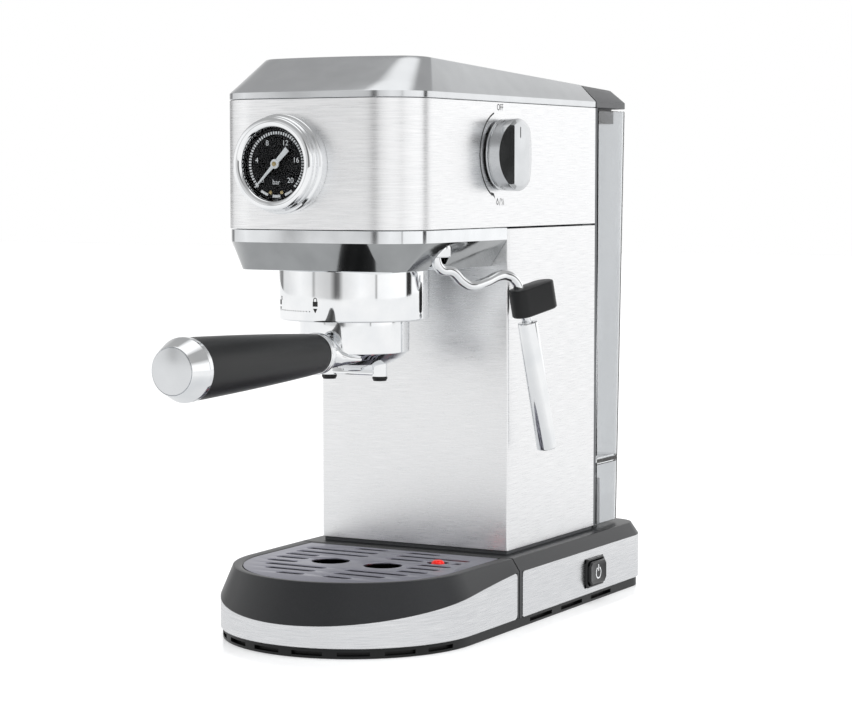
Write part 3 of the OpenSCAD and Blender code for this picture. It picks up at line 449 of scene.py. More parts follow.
def meshFrom(name, shape):
    mesh = bpy.data.meshes.new(name)
    mesh.from_pydata([[c * mm for c in p] for p in shape[0]], [], shape[1])
    work = bmesh.new()
    work.from_mesh(mesh)
    bmesh.ops.remove_doubles(work, verts=work.verts, dist=1e-7)
    bmesh.ops.dissolve_degenerate(work, edges=work.edges, dist=1e-7)
    bmesh.ops.recalc_face_normals(work, faces=work.faces)
    work.to_mesh(mesh)
    work.free()
    return mesh


def makePiece(name, shape, material, body, stands=(), sharp=35, cutters=()):
    mesh = meshFrom(name, shape)
    piece = bpy.data.objects.new(name, mesh)
    bpy.context.scene.collection.objects.link(piece)
    for cutter in cutters:
        tool = bpy.data.objects.new("cutter", meshFrom("cutter", cutter))
        bpy.context.scene.collection.objects.link(tool)
        cut = piece.modifiers.new("cut", "BOOLEAN")
        cut.operation = "DIFFERENCE"
        cut.solver = "EXACT"
        cut.object = tool
        bpy.context.view_layer.update()
        done = bpy.data.meshes.new_from_object(piece.evaluated_get(bpy.context.evaluated_depsgraph_get()))
        piece.modifiers.clear()
        piece.data = done
        bpy.data.objects.remove(tool)
    piece.data.name = name
    piece.data.materials.clear()
    piece.data.materials.append(material)
    piece.data.shade_smooth()
    piece.data.set_sharp_from_angle(angle=math.radians(sharp))
    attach(piece, body)
    if stands:
        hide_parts(*stands)
    return piece


# ---- geometry node trees for what repeats or follows a line ----


def newTree(name, inputs):
    tree = bpy.data.node_groups.new(name, "GeometryNodeTree")
    tree.interface.new_socket("Geometry", in_out="INPUT", socket_type="NodeSocketGeometry")
    for label, kind in inputs:
        tree.interface.new_socket(label, in_out="INPUT", socket_type="NodeSocket" + kind)
    tree.interface.new_socket("Geometry", in_out="OUTPUT", socket_type="NodeSocketGeometry")
    return tree, addNode(tree, "NodeGroupInput"), addNode(tree, "NodeGroupOutput")


def marksTree():
    # flat marks spaced evenly round part of a circle in the XY plane, each pointing outwards
    tree, given, out = newTree("marks_round", [
        ("Count", "Int"), ("Radius", "Float"), ("Start", "Float"), ("Sweep", "Float"), ("Mark", "Vector"),
        ("Material", "Material")])
    points = addNode(tree, "GeometryNodePoints", {"Count": given.outputs["Count"]})
    index = addNode(tree, "GeometryNodeInputIndex").outputs[0]
    last = addNode(tree, "ShaderNodeMath", {0: given.outputs["Count"], 1: 1.0}, operation="SUBTRACT")
    share = addNode(tree, "ShaderNodeMath", {0: index, 1: last.outputs[0]}, operation="DIVIDE")
    angle = addNode(tree, "ShaderNodeMath", {0: share.outputs[0], 1: given.outputs["Sweep"],
                                              2: given.outputs["Start"]}, operation="MULTIPLY_ADD")
    turn = addNode(tree, "ShaderNodeCombineXYZ", {"Z": angle.outputs[0]})
    reach = addNode(tree, "ShaderNodeCombineXYZ", {"X": given.outputs["Radius"]})
    place = addNode(tree, "ShaderNodeVectorRotate",
                    {"Vector": reach.outputs[0], "Rotation": turn.outputs[0]}, rotation_type="EULER_XYZ")
    spread = addNode(tree, "GeometryNodeSetPosition",
                     {"Geometry": points.outputs[0], "Position": place.outputs[0]})
    mark = addNode(tree, "GeometryNodeMeshCube", {"Size": given.outputs["Mark"]})
    copies = addNode(tree, "GeometryNodeInstanceOnPoints",
                     {"Points": spread.outputs[0], "Instance": mark.outputs[0],
                      "Rotation": turn.outputs[0]})
    whole = addNode(tree, "GeometryNodeRealizeInstances", {0: copies.outputs[0]})
    painted = addNode(tree, "GeometryNodeSetMaterial", {"Geometry": whole.outputs[0],
                                                         "Material": given.outputs["Material"]})
    tree.links.new(painted.outputs[0], out.inputs[0])
    return tree


def tubeTree():
    # round tube along the object's own curve
    tree, given, out = newTree("tube_along",
                               [("Radius", "Float"), ("Sides", "Int"), ("Material", "Material")])
    circle = addNode(tree, "GeometryNodeCurvePrimitiveCircle", {"Resolution": given.outputs["Sides"],
                                                                 "Radius": given.outputs["Radius"]})
    tube = addNode(tree, "GeometryNodeCurveToMesh", {"Curve": given.outputs["Geometry"],
                                                      "Profile Curve": circle.outputs[0], "Fill Caps": True})
    whole = addNode(tree, "GeometryNodeRealizeInstances", {0: tube.outputs[0]})
    painted = addNode(tree, "GeometryNodeSetMaterial", {"Geometry": whole.outputs[0],
                                                         "Material": given.outputs["Material"]})
    tree.links.new(painted.outputs[0], out.inputs[0])
    return tree


def runTree(tree, data, values):
    # a throwaway object carries the tree; its result comes back as a plain shape
    thing = bpy.data.objects.new(tree.name, data)
    bpy.context.scene.collection.objects.link(thing)
    modifier = thing.modifiers.new("nodes", "NODES")
    modifier.node_group = tree
    for item in tree.interface.items_tree:
        if item.in_out == "INPUT" and item.name in values:
            modifier[item.identifier] = values[item.name]
    return meshOf(thing)


marksRound = marksTree()
tubeAlong = tubeTree()


def marks(count, radius, start, sweep, size, material):
    return runTree(marksRound, bpy.data.meshes.new("marks"), {
        "Count": count, "Radius": float(radius), "Start": math.radians(start), "Sweep": math.radians(sweep),
        "Mark": size, "Material": material})


def tube(points, radius, sides, material, steps=8):
    line = bpy.data.curves.new("line", "CURVE")
    line.dimensions = "3D"
    line.resolution_u = steps
    spline = line.splines.new("BEZIER")
    spline.bezier_points.add(len(points) - 1)
    for knot, place in zip(spline.bezier_points, points):
        knot.co = place
        knot.handle_left_type = knot.handle_right_type = "AUTO"
    return runTree(tubeAlong, line, {"Radius": float(radius), "Sides": sides, "Material": material})


print("shape tools ready")

# ---- base ----

# "In" and "Slope" are how far an edge stands back from the base's outline
base = {"skirt": 5.6, "bandIn": 1.1, "sideSlope": 4.3, "frontSlope": 7.9, "bandFront": 16.8, "bandTop": 31.5,
        "bar": 1.95, "rim": 11.8, "gridBack": 1.4, "seat": 37.0, "well": 8.2, "rearCorner": 20,
        "seam": 1.0, "rearBar": 3.6, "bandThick": 0.8, "bandCorner": 2.6}


def bandRise(y):
    # share of the band's rise, 0 at the very front and 1 where the tray's band ends
    u = min(1, max(0, (y - frontY) / (seamY - 2.1 - frontY)))
    return 1.42 * u - 0.42 * u * u


def bandEdge(y):
    return base["bandFront"] + (base["bandTop"] - base["bandFront"]) * bandRise(y)


def trayOutline():
    # (x, y, normal x, normal y) once round the tray, the back edge last
    shares = (0, 0.034, 0.0385, 0.1, 0.22, 0.4, 0.6, 0.8)
    side = [(half, seamY + (arcY - seamY) * s, 1, 0) for s in shares]
    front = [(half * math.cos(a), arcY + half * math.sin(a), math.cos(a), math.sin(a))
             for a in [-math.pi * k / 120 for k in range(121)]]
    other = [(-half, y, -1, 0) for _, y, _, _ in reversed(side)]
    back = [(half * (k / 6 - 1), seamY, 0, 1) for k in range(1, 12)]
    return side + front + other + back


def trayRing(inset, height, back=None):
    back = seamY if back is None else back
    ring = []
    for x, y, nx, ny in trayOutline():
        d = inset(y) if callable(inset) else inset
        z = height(y) if callable(height) else height
        if ny == 1:
            ring.append((x * (half - d) / half, back, z))
        else:
            shifted = y if y <= arcY else arcY + (y - arcY) * (back - arcY) / (seamY - arcY)
            ring.append((x - nx * d, shifted - ny * d, z))
    return ring


def creaseIn(y):
    return base["frontSlope"] + (base["sideSlope"] - base["frontSlope"]) * bandRise(y)


def makeTray():
    bar = seamY - base["bar"]
    low = lambda y: 0.15 if y > bar else base["bandIn"]
    rings = [trayRing(lambda y: low(y) + 0.5, base["skirt"]), trayRing(low, base["skirt"] + 0.5),
             trayRing(low, lambda y: bandEdge(y) - 0.3),
             trayRing(0.08, lambda y: bandEdge(y) - 0.12), trayRing(0, lambda y: bandEdge(y) + 0.15)]
    for t in (0.15, 0.35, 0.55, 0.75, 0.93):
        rings.append(trayRing(lambda y: creaseIn(y) * t,
                              lambda y: bandEdge(y) + 0.15 + (baseTop - 0.55 - bandEdge(y)) * t))
    for more, down, back in ((0.05, 0.22, 0.0), (0.55, 0.05, 0.08), (1.2, 0.0, 0.2), (2.4, 0.0, 0.35)):
        rings.append(trayRing(lambda y: creaseIn(y) + more, baseTop - down, seamY - back))
    lip = seamY - base["gridBack"]
    for inset, z, back in ((10.6, baseTop - 0.1, lip + 0.35), (11.4, baseTop - 0.3, lip + 0.1),
                           (base["rim"], baseTop - 0.6, lip), (base["rim"], base["seat"], lip),
                           (13.9, base["seat"], lip - 1.9), (14.5, base["seat"] - 0.5, lip - 2.4),
                           (14.7, base["well"] + 2, lip - 2.6), (16.4, base["well"], lip - 4.3)):
        rings.append(trayRing(inset, z, back))
    tray = makePiece("tray_body", loft(rings), darkRim, "tray", ["drip_tray"], 28)
    # faces inside the well, from its floor up to the seat, get the near-black painted shade
    tray.data.materials.append(wellPaintedShade)
    inside = half - base["rim"] - 0.5
    for face in tray.data.polygons:
        x, y, z = face.center / mm
        within = abs(x) < inside and math.hypot(x, min(0, y - arcY)) < inside
        if within and base["well"] - 0.1 <= z < base["seat"] + 0.1:
            face.material_index = 1


def strip(line, low, high, thick, corner=0.0, edge=0.22):
    # upright sheet along (x, y, normal x, normal y) stations, with its free corners rounded
    runs = [0]
    for a, b in zip(line, line[1:]):
        runs.append(runs[-1] + math.dist(a[:2], b[:2]))
    rings = []
    for (x, y, nx, ny), s in zip(line, runs):
        e = min(s, runs[-1] - s)
        cut = corner - math.sqrt(max(0, corner ** 2 - (corner - e) ** 2)) if e < corner else 0
        z0 = (low(y) if callable(low) else low) + cut
        z1 = (high(y) if callable(high) else high) - cut
        section = [(-edge, z0), (0, z0 + edge), (0, z1 - edge), (-edge, z1), (-thick, z1), (-thick, z0)]
        rings.append([(x + nx * o, y + ny * o, z) for o, z in section])
    return loft(rings)


def freeEnd(y0, y1, corner):
    # stations crowded near a rounded free end
    step = 1 if y1 > y0 else -1
    return [y0 + step * corner * f for f in (0, 0.04, 0.14, 0.3, 0.5, 0.75, 1.0)] + [
        y0 + (y1 - y0) * f for f in (0.15, 0.35, 0.55, 0.8)]


def makeBands():
    end = freeEnd(seamY - 2.1, arcY, base["bandCorner"])
    side = [(half, y, 1, 0) for y in end]
    front = [(half * math.cos(a), arcY + half * math.sin(a), math.cos(a), math.sin(a))
             for a in [-math.pi * k / 160 for k in range(161)]]
    line = side + front + [(-x, y, -nx, ny) for x, y, nx, ny in reversed(side)]
    makePiece("tray_strip", strip(line, base["skirt"], bandEdge, base["bandThick"], base["bandCorner"]),
              bandSteel, "tray", ["tray_band"], 40)
    r = base["rearCorner"]
    end = freeEnd(seamY + base["seam"] + base["rearBar"], rearY - r, base["bandCorner"])
    side = [(half, y, 1, 0) for y in end]
    corner = [(half - r + r * math.cos(a), rearY - r + r * math.sin(a), math.cos(a), math.sin(a))
              for a in [math.pi / 2 * k / 16 for k in range(17)]]
    right = side + corner + [(half * f, rearY, 0, 1) for f in (0.6, 0.3)]
    line = right + [(0, rearY, 0, 1)] + [(-x, y, -nx, ny) for x, y, nx, ny in reversed(right)]
    makePiece("rear_strip", strip(line, base["skirt"], base["bandTop"] - 0.1, base["bandThick"],
                                  base["bandCorner"]),
              bandSteel, "machine", ["base_band"], 40, [powerBlock(0.12, -4, 4), glandHole()])


power = {"low": spanOf("power_button")[0], "high": spanOf("power_button")[1], "frame": 1.6, "chamfer": 2.2}


def powerOutline(grow, chamfer):
    y0, y1 = power["low"][1] - grow, power["high"][1] + grow
    z0, z1 = power["low"][2] - grow, power["high"][2] + grow
    c = chamfer
    return [(y0 + c, z0), (y1 - c, z0), (y1, z0 + c), (y1, z1 - c),
            (y1 - c, z1), (y0 + c, z1), (y0, z1 - c), (y0, z0 + c)]


def powerBlock(grow, inside, outside, chamfer=0.01):
    outline = powerOutline(power["frame"] + grow, chamfer)
    return loft([[(half + x, y, z) for y, z in outline] for x in (inside, outside)])


def glandHole():
    low, high = spanOf("cord_gland")
    middle = [(a + b) / 2 for a, b in zip(low, high)]
    return lathe([(6.3, -14), (6.3, 14)], (middle[0], rearY, middle[2]), (0, 1, 0), 48)


def housingRing(inset, z, front):
    # rear base, from the seam round the rear corners and back
    r = base["rearCorner"]
    sides = (0, 0.0185, 0.0215, 0.1, 0.3, 0.6, 0.85)
    ring = []
    for s in sides:
        y = front + (rearY - r - front) * s
        d = inset(y) if callable(inset) else inset
        ring.append((half - d, y, z))
    d = inset(rearY) if callable(inset) else inset
    ring += [(x, y, z) for x, y in arc((half - r, rearY - r), r - d, 0, 90, 16)]
    ring += [(-x, y, z) for x, y, _ in reversed(ring)]
    return ring


def makeHousing():
    front = seamY + base["seam"]
    bar = front + base["rearBar"] - 0.4
    low = lambda y: 0.15 if y < bar else base["bandIn"]
    top, slope, edge = base["bandTop"], base["sideSlope"], baseTop
    rings = [housingRing(low, base["skirt"], front), housingRing(low, top - 0.25, front),
             housingRing(0.05, top - 0.05, front), housingRing(0, top + 0.2, front)]
    for t in (0.3, 0.65, 0.93):
        rings.append(housingRing(slope * t, top + 0.2 + (edge - 0.6 - top) * t, front))
    for more, down, back in ((0.05, 0.22, 0), (0.55, 0.05, 0.08), (1.2, 0, 0.2), (9, 0, 0.4)):
        rings.append(housingRing(slope + more, edge - down, front + back))
    makePiece("rear_base", loft(rings), darkRim, "machine", ["base_housing"], 28,
              [powerBlock(0.12, -12, 6), glandHole()])


def makePower():
    grow, x0 = power["frame"], half - 9
    outer = powerOutline(grow, power["chamfer"])
    inner = powerOutline(0.35, power["chamfer"] - 0.4)
    small = powerOutline(grow - 0.5, power["chamfer"])
    ring = [[(x, y, z) for y, z in line] for x, line in (
        (x0, inner), (x0, outer), (half + 1.2, outer), (half + 1.6, small),
        (half + 1.6, powerOutline(0.7, 2.0)), (half + 1.3, inner), (x0, inner))]
    makePiece("power_frame", loft(ring, False, False), glossBlack, "machine", ["switch_housing"],
              25)
    face = power["high"][0]
    rings = [[(x, y, z) for y, z in powerOutline(g, power["chamfer"])] for x, g in (
        (power["low"][0], 0), (face - 0.9, 0), (face - 0.35, -0.2), (face - 0.05, -0.7), (face - 0.3, -1.4))]
    makePiece("power_key", loft(rings), glossBlack, "power", ["power_button"], 25)
    ymid = (power["low"][1] + power["high"][1]) / 2
    zmid = (power["low"][2] + power["high"][2]) / 2
    outerArc = arc((0, 0), 3.6, 118, 422, 40)
    innerArc = arc((0, 0), 2.9, 422, 118, 40)
    symbol = joined(cutSheet([outerArc + innerArc], 0.1),
                    cutSheet([[(-0.4, 0.9), (0.4, 0.9), (0.4, 4.8), (-0.4, 4.8)]], 0.1))
    raised = placed(symbol, lambda p: Vector((face - 0.26 + p.z, ymid + p.x, zmid - 0.3 + p.y)))
    makePiece("power_symbol", raised, printWhite, "power", ())


# rows are the slots' inner and outer ends, from the back row forwards
grid = {"thick": 1.2, "edge": 0.22, "inset": 12.2, "rowY": -7.5, "pitch": 11.25, "slot": 5.5,
        "rows": [(6, 27), (6, 52), (6, 52), (31, 52), (31, 51), (31, 50), (6, 44), (6, 37), (6, 23)],
        "floatGap": (29, 46.6), "floatRow": 2, "floatHole": 6, "hole": 10.5, "holeX": 16.4, "holeY": 2.5}


def slotOutline(x0, x1, y):
    r = grid["slot"] / 2
    return arc((x1 - r, y), r, -90, 90, 8) + arc((x0 + r, y), r, 90, 270, 8)


def makeGrid():
    low, high = spanOf("drip_grid")
    back = seamY - base["gridBack"] - 0.3
    r = half - grid["inset"]
    outline = [(r, back)] + arc((0, arcY), r, 0, -180, 96) + [(-r, back)]
    loops = [outline]
    for k, (x0, x1) in enumerate(grid["rows"]):
        y = seamY + grid["rowY"] - k * grid["pitch"]
        gap = grid["floatGap"]
        spans = [(x0, gap[0]), (gap[1], x1)] if k == grid["floatRow"] else [(x0, x1)]
        loops.append(slotOutline(-x1, -x0, y))
        loops += [slotOutline(a, b, y) for a, b in spans]
    for s in (-1, 1):
        loops.append(arc((s * grid["holeX"], arcY + grid["holeY"]), grid["hole"], 0, 357.5, 47))
    floatLow, floatHigh = spanOf("tray_float")
    fx, fy = (floatLow[0] + floatHigh[0]) / 2, (floatLow[1] + floatHigh[1]) / 2
    loops.append(arc((fx, fy), grid["floatHole"], 0, 354, 39))
    sheet = cutSheet(loops, grid["thick"], grid["edge"])
    middle = (low[2] + high[2]) / 2
    makePiece("grid_plate", placed(sheet, lambda p: Vector((p.x, p.y, p.z + middle))), gridSteel, "grid",
              ["drip_grid"], 40)
    profile = softened([(0, floatHigh[2] - 0.4), (2.2, floatHigh[2] - 0.6), (3.3, floatHigh[2] - 1.4),
                        (3.8, floatHigh[2] - 2.8), (3.8, floatLow[2] + 9), (9, floatLow[2] + 9),
                        (9, floatLow[2]), (0, floatLow[2])], 0.8)
    makePiece("float_red", lathe(profile, (fx, fy, 0), (0, 0, 1), 48), floatRed, "float",
              ["tray_float"])


makeTray()
makeBands()
makeHousing()
makePower()
makeGrid()
print("base made")

# ---- column, head and covers ----

head = {"corner": 28, "bow": 516, "sheet": 0.8, "capBand": 3.9, "capSideIn": 10, "capFrontIn": 28.5,
        "capBow": 240, "capCorner": 14, "lowerFrontIn": 8, "lowerCorner": 9, "wall": 2.4, "lowerBand": 7.2,
        "lowerIn": 10, "lowerInset": 0.6, "plate": (84, 104, 8), "plateY": 70}
headFront = headLow[1]
capRear = spanOf("top_cap")[1][1]
capTop = spanOf("top_cap")[1][2]
lowerLow = spanOf("lower_cap")[0]
lowerRear = spanOf("lower_cap")[1][1]
topFront = headFront + head["capFrontIn"]
rearTop = headHigh[2] + 13.7
topSlope = (capTop - rearTop) / (capRear - topFront)


def bowedLine(w, front, bow, r, inset, rear, sideCount=5, cornerCount=18, frontCount=18):
    # (x, y, normal x, normal y) from the right rear, round the bowed front, to the left rear
    cx = w - r
    cy = front + bow - math.sqrt((bow - r) ** 2 - cx ** 2)
    lean = math.asin(cx / (bow - r))
    line = [(w - inset, rear + (cy - rear) * k / sideCount, 1, 0) for k in range(sideCount)]
    for k in range(cornerCount + 1):
        a = -(math.pi / 2 - lean) * k / cornerCount
        nx, ny = math.cos(a), math.sin(a)
        line.append((cx + (r - inset) * nx, cy + (r - inset) * ny, nx, ny))
    right = line[:]
    for k in range(1, frontCount):
        a = -math.pi / 2 + lean * (1 - 2 * k / frontCount)
        nx, ny = math.cos(a), math.sin(a)
        line.append(((bow - inset) * nx, front + bow + (bow - inset) * ny, nx, ny))
    return line + [(-x, y, -nx, ny) for x, y, nx, ny in reversed(right)]


def headLine(inset, rear):
    return bowedLine(columnHalf, headFront, head["bow"], head["corner"], inset, rear)


def headRing(inset, z, rear):
    return [(x, y, z) for x, y, _, _ in headLine(inset, rear)]


def topRing(inset, drop, rear):
    # the edge of the top cover's sloping face
    line = bowedLine(columnHalf - head["capSideIn"], topFront, head["capBow"], head["capCorner"],
                     inset, rear)
    return [(x, y, rearTop + (capRear - y) * topSlope - drop) for x, y, _, _ in line]


def lowerRing(inset, z, rear):
    line = bowedLine(columnHalf - head["lowerIn"] - head["lowerInset"],
                     headFront + head["lowerFrontIn"] + head["lowerInset"],
                     head["bow"], head["lowerCorner"], inset, rear)
    return [(x, y, z) for x, y, _, _ in line]


def between(a, b, t):
    return [tuple(Vector(p).lerp(Vector(q), t)) for p, q in zip(a, b)]


def onTop(p):
    # a point of the XY plane lifted on to the sloping top
    tilt = math.atan(topSlope)
    return Vector((p.x, capRear + (p.y - capRear) * math.cos(tilt) + p.z * math.sin(tilt),
                   rearTop - (p.y - capRear) * math.sin(tilt) + p.z * math.cos(tilt)))


def topBlock(size, y, low=-8, high=8):
    outline = roundedBox(size[0], size[1], size[2])
    return placed(loft([[(x, y + v, z) for x, v in outline] for z in (low, high)]), onTop)


def makeColumn():
    z0, z1 = columnLow[2], columnHigh[2]
    r, y0 = 1.3, columnLow[1]
    right = [(columnHalf, columnRear + (y0 + r - columnRear) * k / 8, 1, 0) for k in range(9)]
    right += [(x, y, (x - columnHalf + r) / r, (y - y0 - r) / r)
              for x, y in arc((columnHalf - r, y0 + r), r, -15, -90, 5)]
    line = right + [((columnHalf - r) * f, y0, 0, -1) for f in (0.6, 0.2)]
    line = line + [(-x, y, -nx, ny) for x, y, nx, ny in reversed(line)]
    makePiece("column_panel", strip(line, z0, z1, head["sheet"], 0, 0.12), steel, "machine",
              ["column_shell"], 30)


def gaugeHole(radius, at):
    return lathe([(radius, -20), (radius, 20)], at, (0, 1, 0), 64)


def makeHead():
    line = headLine(0, capRear)
    knobLow, knobHigh = spanOf("knob_bush")
    knobAt = (columnHalf, (knobLow[1] + knobHigh[1]) / 2, (knobLow[2] + knobHigh[2]) / 2)
    makePiece("head_panel", strip(line, headLow[2], headHigh[2], head["sheet"], 0, 0.12), steel, "machine",
              ["head_band"], 30,
              [gaugeHole(19.6, (gaugeX, headFront, gaugeZ)),
               lathe([(5.3, -20), (5.3, 20)], knobAt, (1, 0, 0), 48)])


def makeCap():
    low, band = headHigh[2] + 0.3, headHigh[2] + head["capBand"]
    bottom, edge = headRing(0, band - 0.25, capRear), topRing(0, 0, capRear)
    wall = head["wall"]
    innerTop = topRing(wall * 1.4, wall, capRear - wall)
    innerLow = headRing(wall, band - 1, capRear - wall)
    rings = [innerTop, innerLow, headRing(wall, low, capRear - wall), headRing(0.3, low, capRear - 0.3),
             headRing(0, low + 0.3, capRear), bottom,
             between(headRing(0.16, band, capRear), edge, 0.012)]
    rings += [between(bottom, edge, t) for t in (0.3, 0.6, 0.9, 0.985)]
    rings += [topRing(0.35, -0.02, capRear - 0.2), topRing(1.0, 0, capRear - 0.5)]
    makePiece("top_cover", loft(rings), satinCap, "machine", ["top_cap"], 24,
              [topBlock(head["plate"], buttonRow + head["plateY"]), topBlock(panelSize, buttonRow)])


def makeLowerCap():
    inset, wall = head["lowerInset"], head["wall"]
    top, band, low = headLow[2] - 0.4, headLow[2] - head["lowerBand"], lowerLow[2]
    rear = lowerRear
    crease = headRing(inset + 0.15, band - 0.1, rear)
    rings = [lowerRing(wall, low + wall, rear - wall), headRing(inset + wall, band + 0.5, rear - wall),
             headRing(inset + wall, top, rear - wall), headRing(inset + 0.2, top, rear - 0.2),
             headRing(inset, top - 0.2, rear), headRing(inset, band + 0.2, rear), crease]
    rings += [between(crease, lowerRing(0, low, rear), t) for t in (0.4, 0.8, 0.985)]
    rings += [lowerRing(0.35, low, rear)]
    wandHole = lathe([(8.3, -14), (8.3, 14)], (wand["x"], groupY, wand["top"] - 6), (0, 0, 1), 48)
    cover = makePiece("lower_cover", loft(rings), chromePlastic, "machine", ["lower_cap"],
                      24, [wandHole])
    cover.data.materials.append(paintedShadeChrome)
    # chamfer faces that look down get the darker chrome: painted shade where they face the floor
    for face in cover.data.polygons:
        if -0.75 < face.normal.z < -0.2:
            face.material_index = 1


gaugeLow, gaugeHigh = spanOf("gauge_dial")
gaugeX, gaugeZ = (gaugeLow[0] + gaugeHigh[0]) / 2, (gaugeLow[2] + gaugeHigh[2]) / 2
gaugeFace = spanOf("gauge_case")[0][1]
gauge = {"out": 14.0, "bezel": 24.2, "flange": 26.0, "dial": 18.3, "ticks": 16.0, "numbers": 12.0,
         "numberSize": 3.8, "unitSize": 3.6, "unitDrop": 9.4, "sweep": 270, "marks": 51,
         "segments": ((236, 252), (262, 278), (288, 304)), "segmentBand": (15.9, 17.3),
         "arcBand": (17.3, 17.6), "studs": (257, 283), "studRadius": 15.0, "restAngle": 225}
buttonRow = -73.5
panelSize = (2 * (25 + 8) + 8, 2 * 8 + 8, 11)
socketLow, socketHigh = spanOf("wand_socket")
# the path is (distance outwards, height from the socket); the lower cover has the wand's hole
wand = {"x": (socketLow[0] + socketHigh[0]) / 2, "top": headLow[2] - 10, "turn": 71.3, "radius": 2.8,
        "path": [(0, -2), (0, -6), (3, -11), (12, -13), (19.1, -18.2), (25.7, -20.8), (36.2, -19.3),
                 (46.6, -16.1), (52, -15.9), (58.1, -18.4), (62, -23.6), (64.6, -34), (68.4, -41.5)],
        "sleeveTop": (68.4, -41.5), "sleeveRun": (0.214, -0.977), "sleeve": 5.6, "sleeveLength": 73,
        "grip": (29.5, 13, 15.5), "gripMiddle": (62.8, -31.5), "gripShift": 10, "gripTilt": 12.4}


def makeGauge():
    back = gaugeFace + gauge["out"]
    b, f = gauge["bezel"], gauge["flange"]
    profile = softened([(19.7, 0.6), (f, 0.6), (f, 5.9, 0.8), (b - 0.1, 6.6, 0.2), (b - 0.1, 7.4, 0.2),
                        (b + 0.7, 7.8, 0.3), (b + 0.7, 10.2, 0.6), (b, 10.9, 0.3), (b, 13.2, 1.3),
                        (b - 2.6, 14, 0.9), (b - 4.6, 13.4, 0.8), (18.9, 12.4, 0.4), (18.6, 9.0),
                        (18.6, 6.9), (19.7, 6.7), (19.7, 0.6)], 0.3, 5)
    makePiece("gauge_ring", lathe(profile, (gaugeX, back, gaugeZ), (0, -1, 0), 128, True), chrome, "machine",
              ["gauge_case"], 30)
    shell = lathe([(0, -11.5), (18.8, -11.5), (18.8, 6.9), (0, 6.9)], (gaugeX, back, gaugeZ), (0, -1, 0), 64)
    makePiece("gauge_can", shell, blackPlastic, "machine", ())
    face = 8.6
    dial = softened([(1.3, face - 1), (gauge["dial"], face - 1), (gauge["dial"], face), (1.3, face)], 0.15)
    makePiece("gauge_face", lathe(dial + [dial[0]], (gaugeX, back, gaugeZ), (0, -1, 0), 96, True), dialBlack,
              "machine", ["gauge_dial"], 30)

    def onDial(p):
        return Vector((gaugeX + p.x, back - face - 0.03 - abs(p.z), gaugeZ + p.y))
    halfSweep = gauge["sweep"] / 2
    prints = [marks(gauge["marks"], gauge["ticks"], 90 + halfSweep, -gauge["sweep"], (1.5, 0.9, 0.05),
                    printWhite)]
    for k, number in enumerate(("0", "4", "8", "12", "16", "20")):
        a = math.radians(90 + halfSweep - gauge["sweep"] * k / 5)
        r = gauge["numbers"]
        word = lettering(number, gauge["numberSize"])
        prints.append(placed(word, lambda p: p + Vector((r * math.cos(a), r * math.sin(a), 0))))
    unit = lettering("bar", gauge["unitSize"])
    prints.append(placed(unit, lambda p: p + Vector((0, -gauge["unitDrop"], 0))))
    bands = [(gauge["segmentBand"], start, end, 10) for start, end in gauge["segments"]]
    for (low, high), start, end, count in bands + [(gauge["arcBand"], 30, -44, 24)]:
        band = arc((0, 0), high, start, end, count) + arc((0, 0), low, end, start, count)
        prints.append(cutSheet([band], 0.05))
    makePiece("gauge_print", placed(joined(*prints), onDial), printWhite, "machine", ())
    studs = []
    for a in gauge["studs"]:
        x, z = (gauge["studRadius"] * f(math.radians(a)) for f in (math.cos, math.sin))
        studs.append(lathe(softened([(0, 0), (0.95, 0), (0.95, 0.5), (0.5, 0.7), (0, 0.62)], 0.2),
                           (gaugeX + x, back - face, gaugeZ + z), (0, -1, 0), 24))
    makePiece("gauge_studs", joined(*studs), brass, "machine", ())
    rim = gauge["dial"]
    lens = softened([(0, 11.8), (rim, 11.8), (rim, 12.5), (rim * 0.6, 12.95), (0, 13.1)], 0.2)
    makePiece("gauge_glass", lathe(lens, (gaugeX, back, gaugeZ), (0, -1, 0), 96), lensClear, "machine",
              ["gauge_lens"], 30)


def makeNeedle():
    back = gaugeFace + gauge["out"]
    above = [(17.2, 0.3), (2.6, 0.95), (-2.4, 1.2), (-10.8, 1.5)]
    outline = above + [(x, -y) for x, y in reversed(above)]
    blade = cutSheet([outline], 0.45, 0.08)
    a = math.radians(gauge["restAngle"])
    blade = placed(blade, lambda p: Vector((gaugeX + p.x * math.cos(a) - p.y * math.sin(a),
                                            back - 10.2 - p.z,
                                            gaugeZ + p.x * math.sin(a) + p.y * math.cos(a))))
    hub = lathe(softened([(0, 3.5), (1.15, 3.5), (1.15, 9.7), (2.5, 9.7), (2.5, 10.7, 0.4), (0, 11.0)], 0.2),
                (gaugeX, back, gaugeZ), (0, -1, 0), 48)
    makePiece("gauge_pointer", joined(blade, hub), printWhite, "needle", ["gauge_needle"])
    pin = lathe(softened([(0, 10.6), (1.3, 10.6), (1.2, 11.25), (0, 11.4)], 0.3), (gaugeX, back, gaugeZ),
                (0, -1, 0), 32)
    makePiece("gauge_pin", pin, brass, "needle", ())


# cuts are (side, distance of the ridge from the middle, fall to the rim)
knob = {"radius": 19.6, "out": 12.5, "cuts": [(-1, 7.2, 3.0), (1, 10.5, 3.0)], "printRadius": 23.6,
        "signDrop": 25.4}


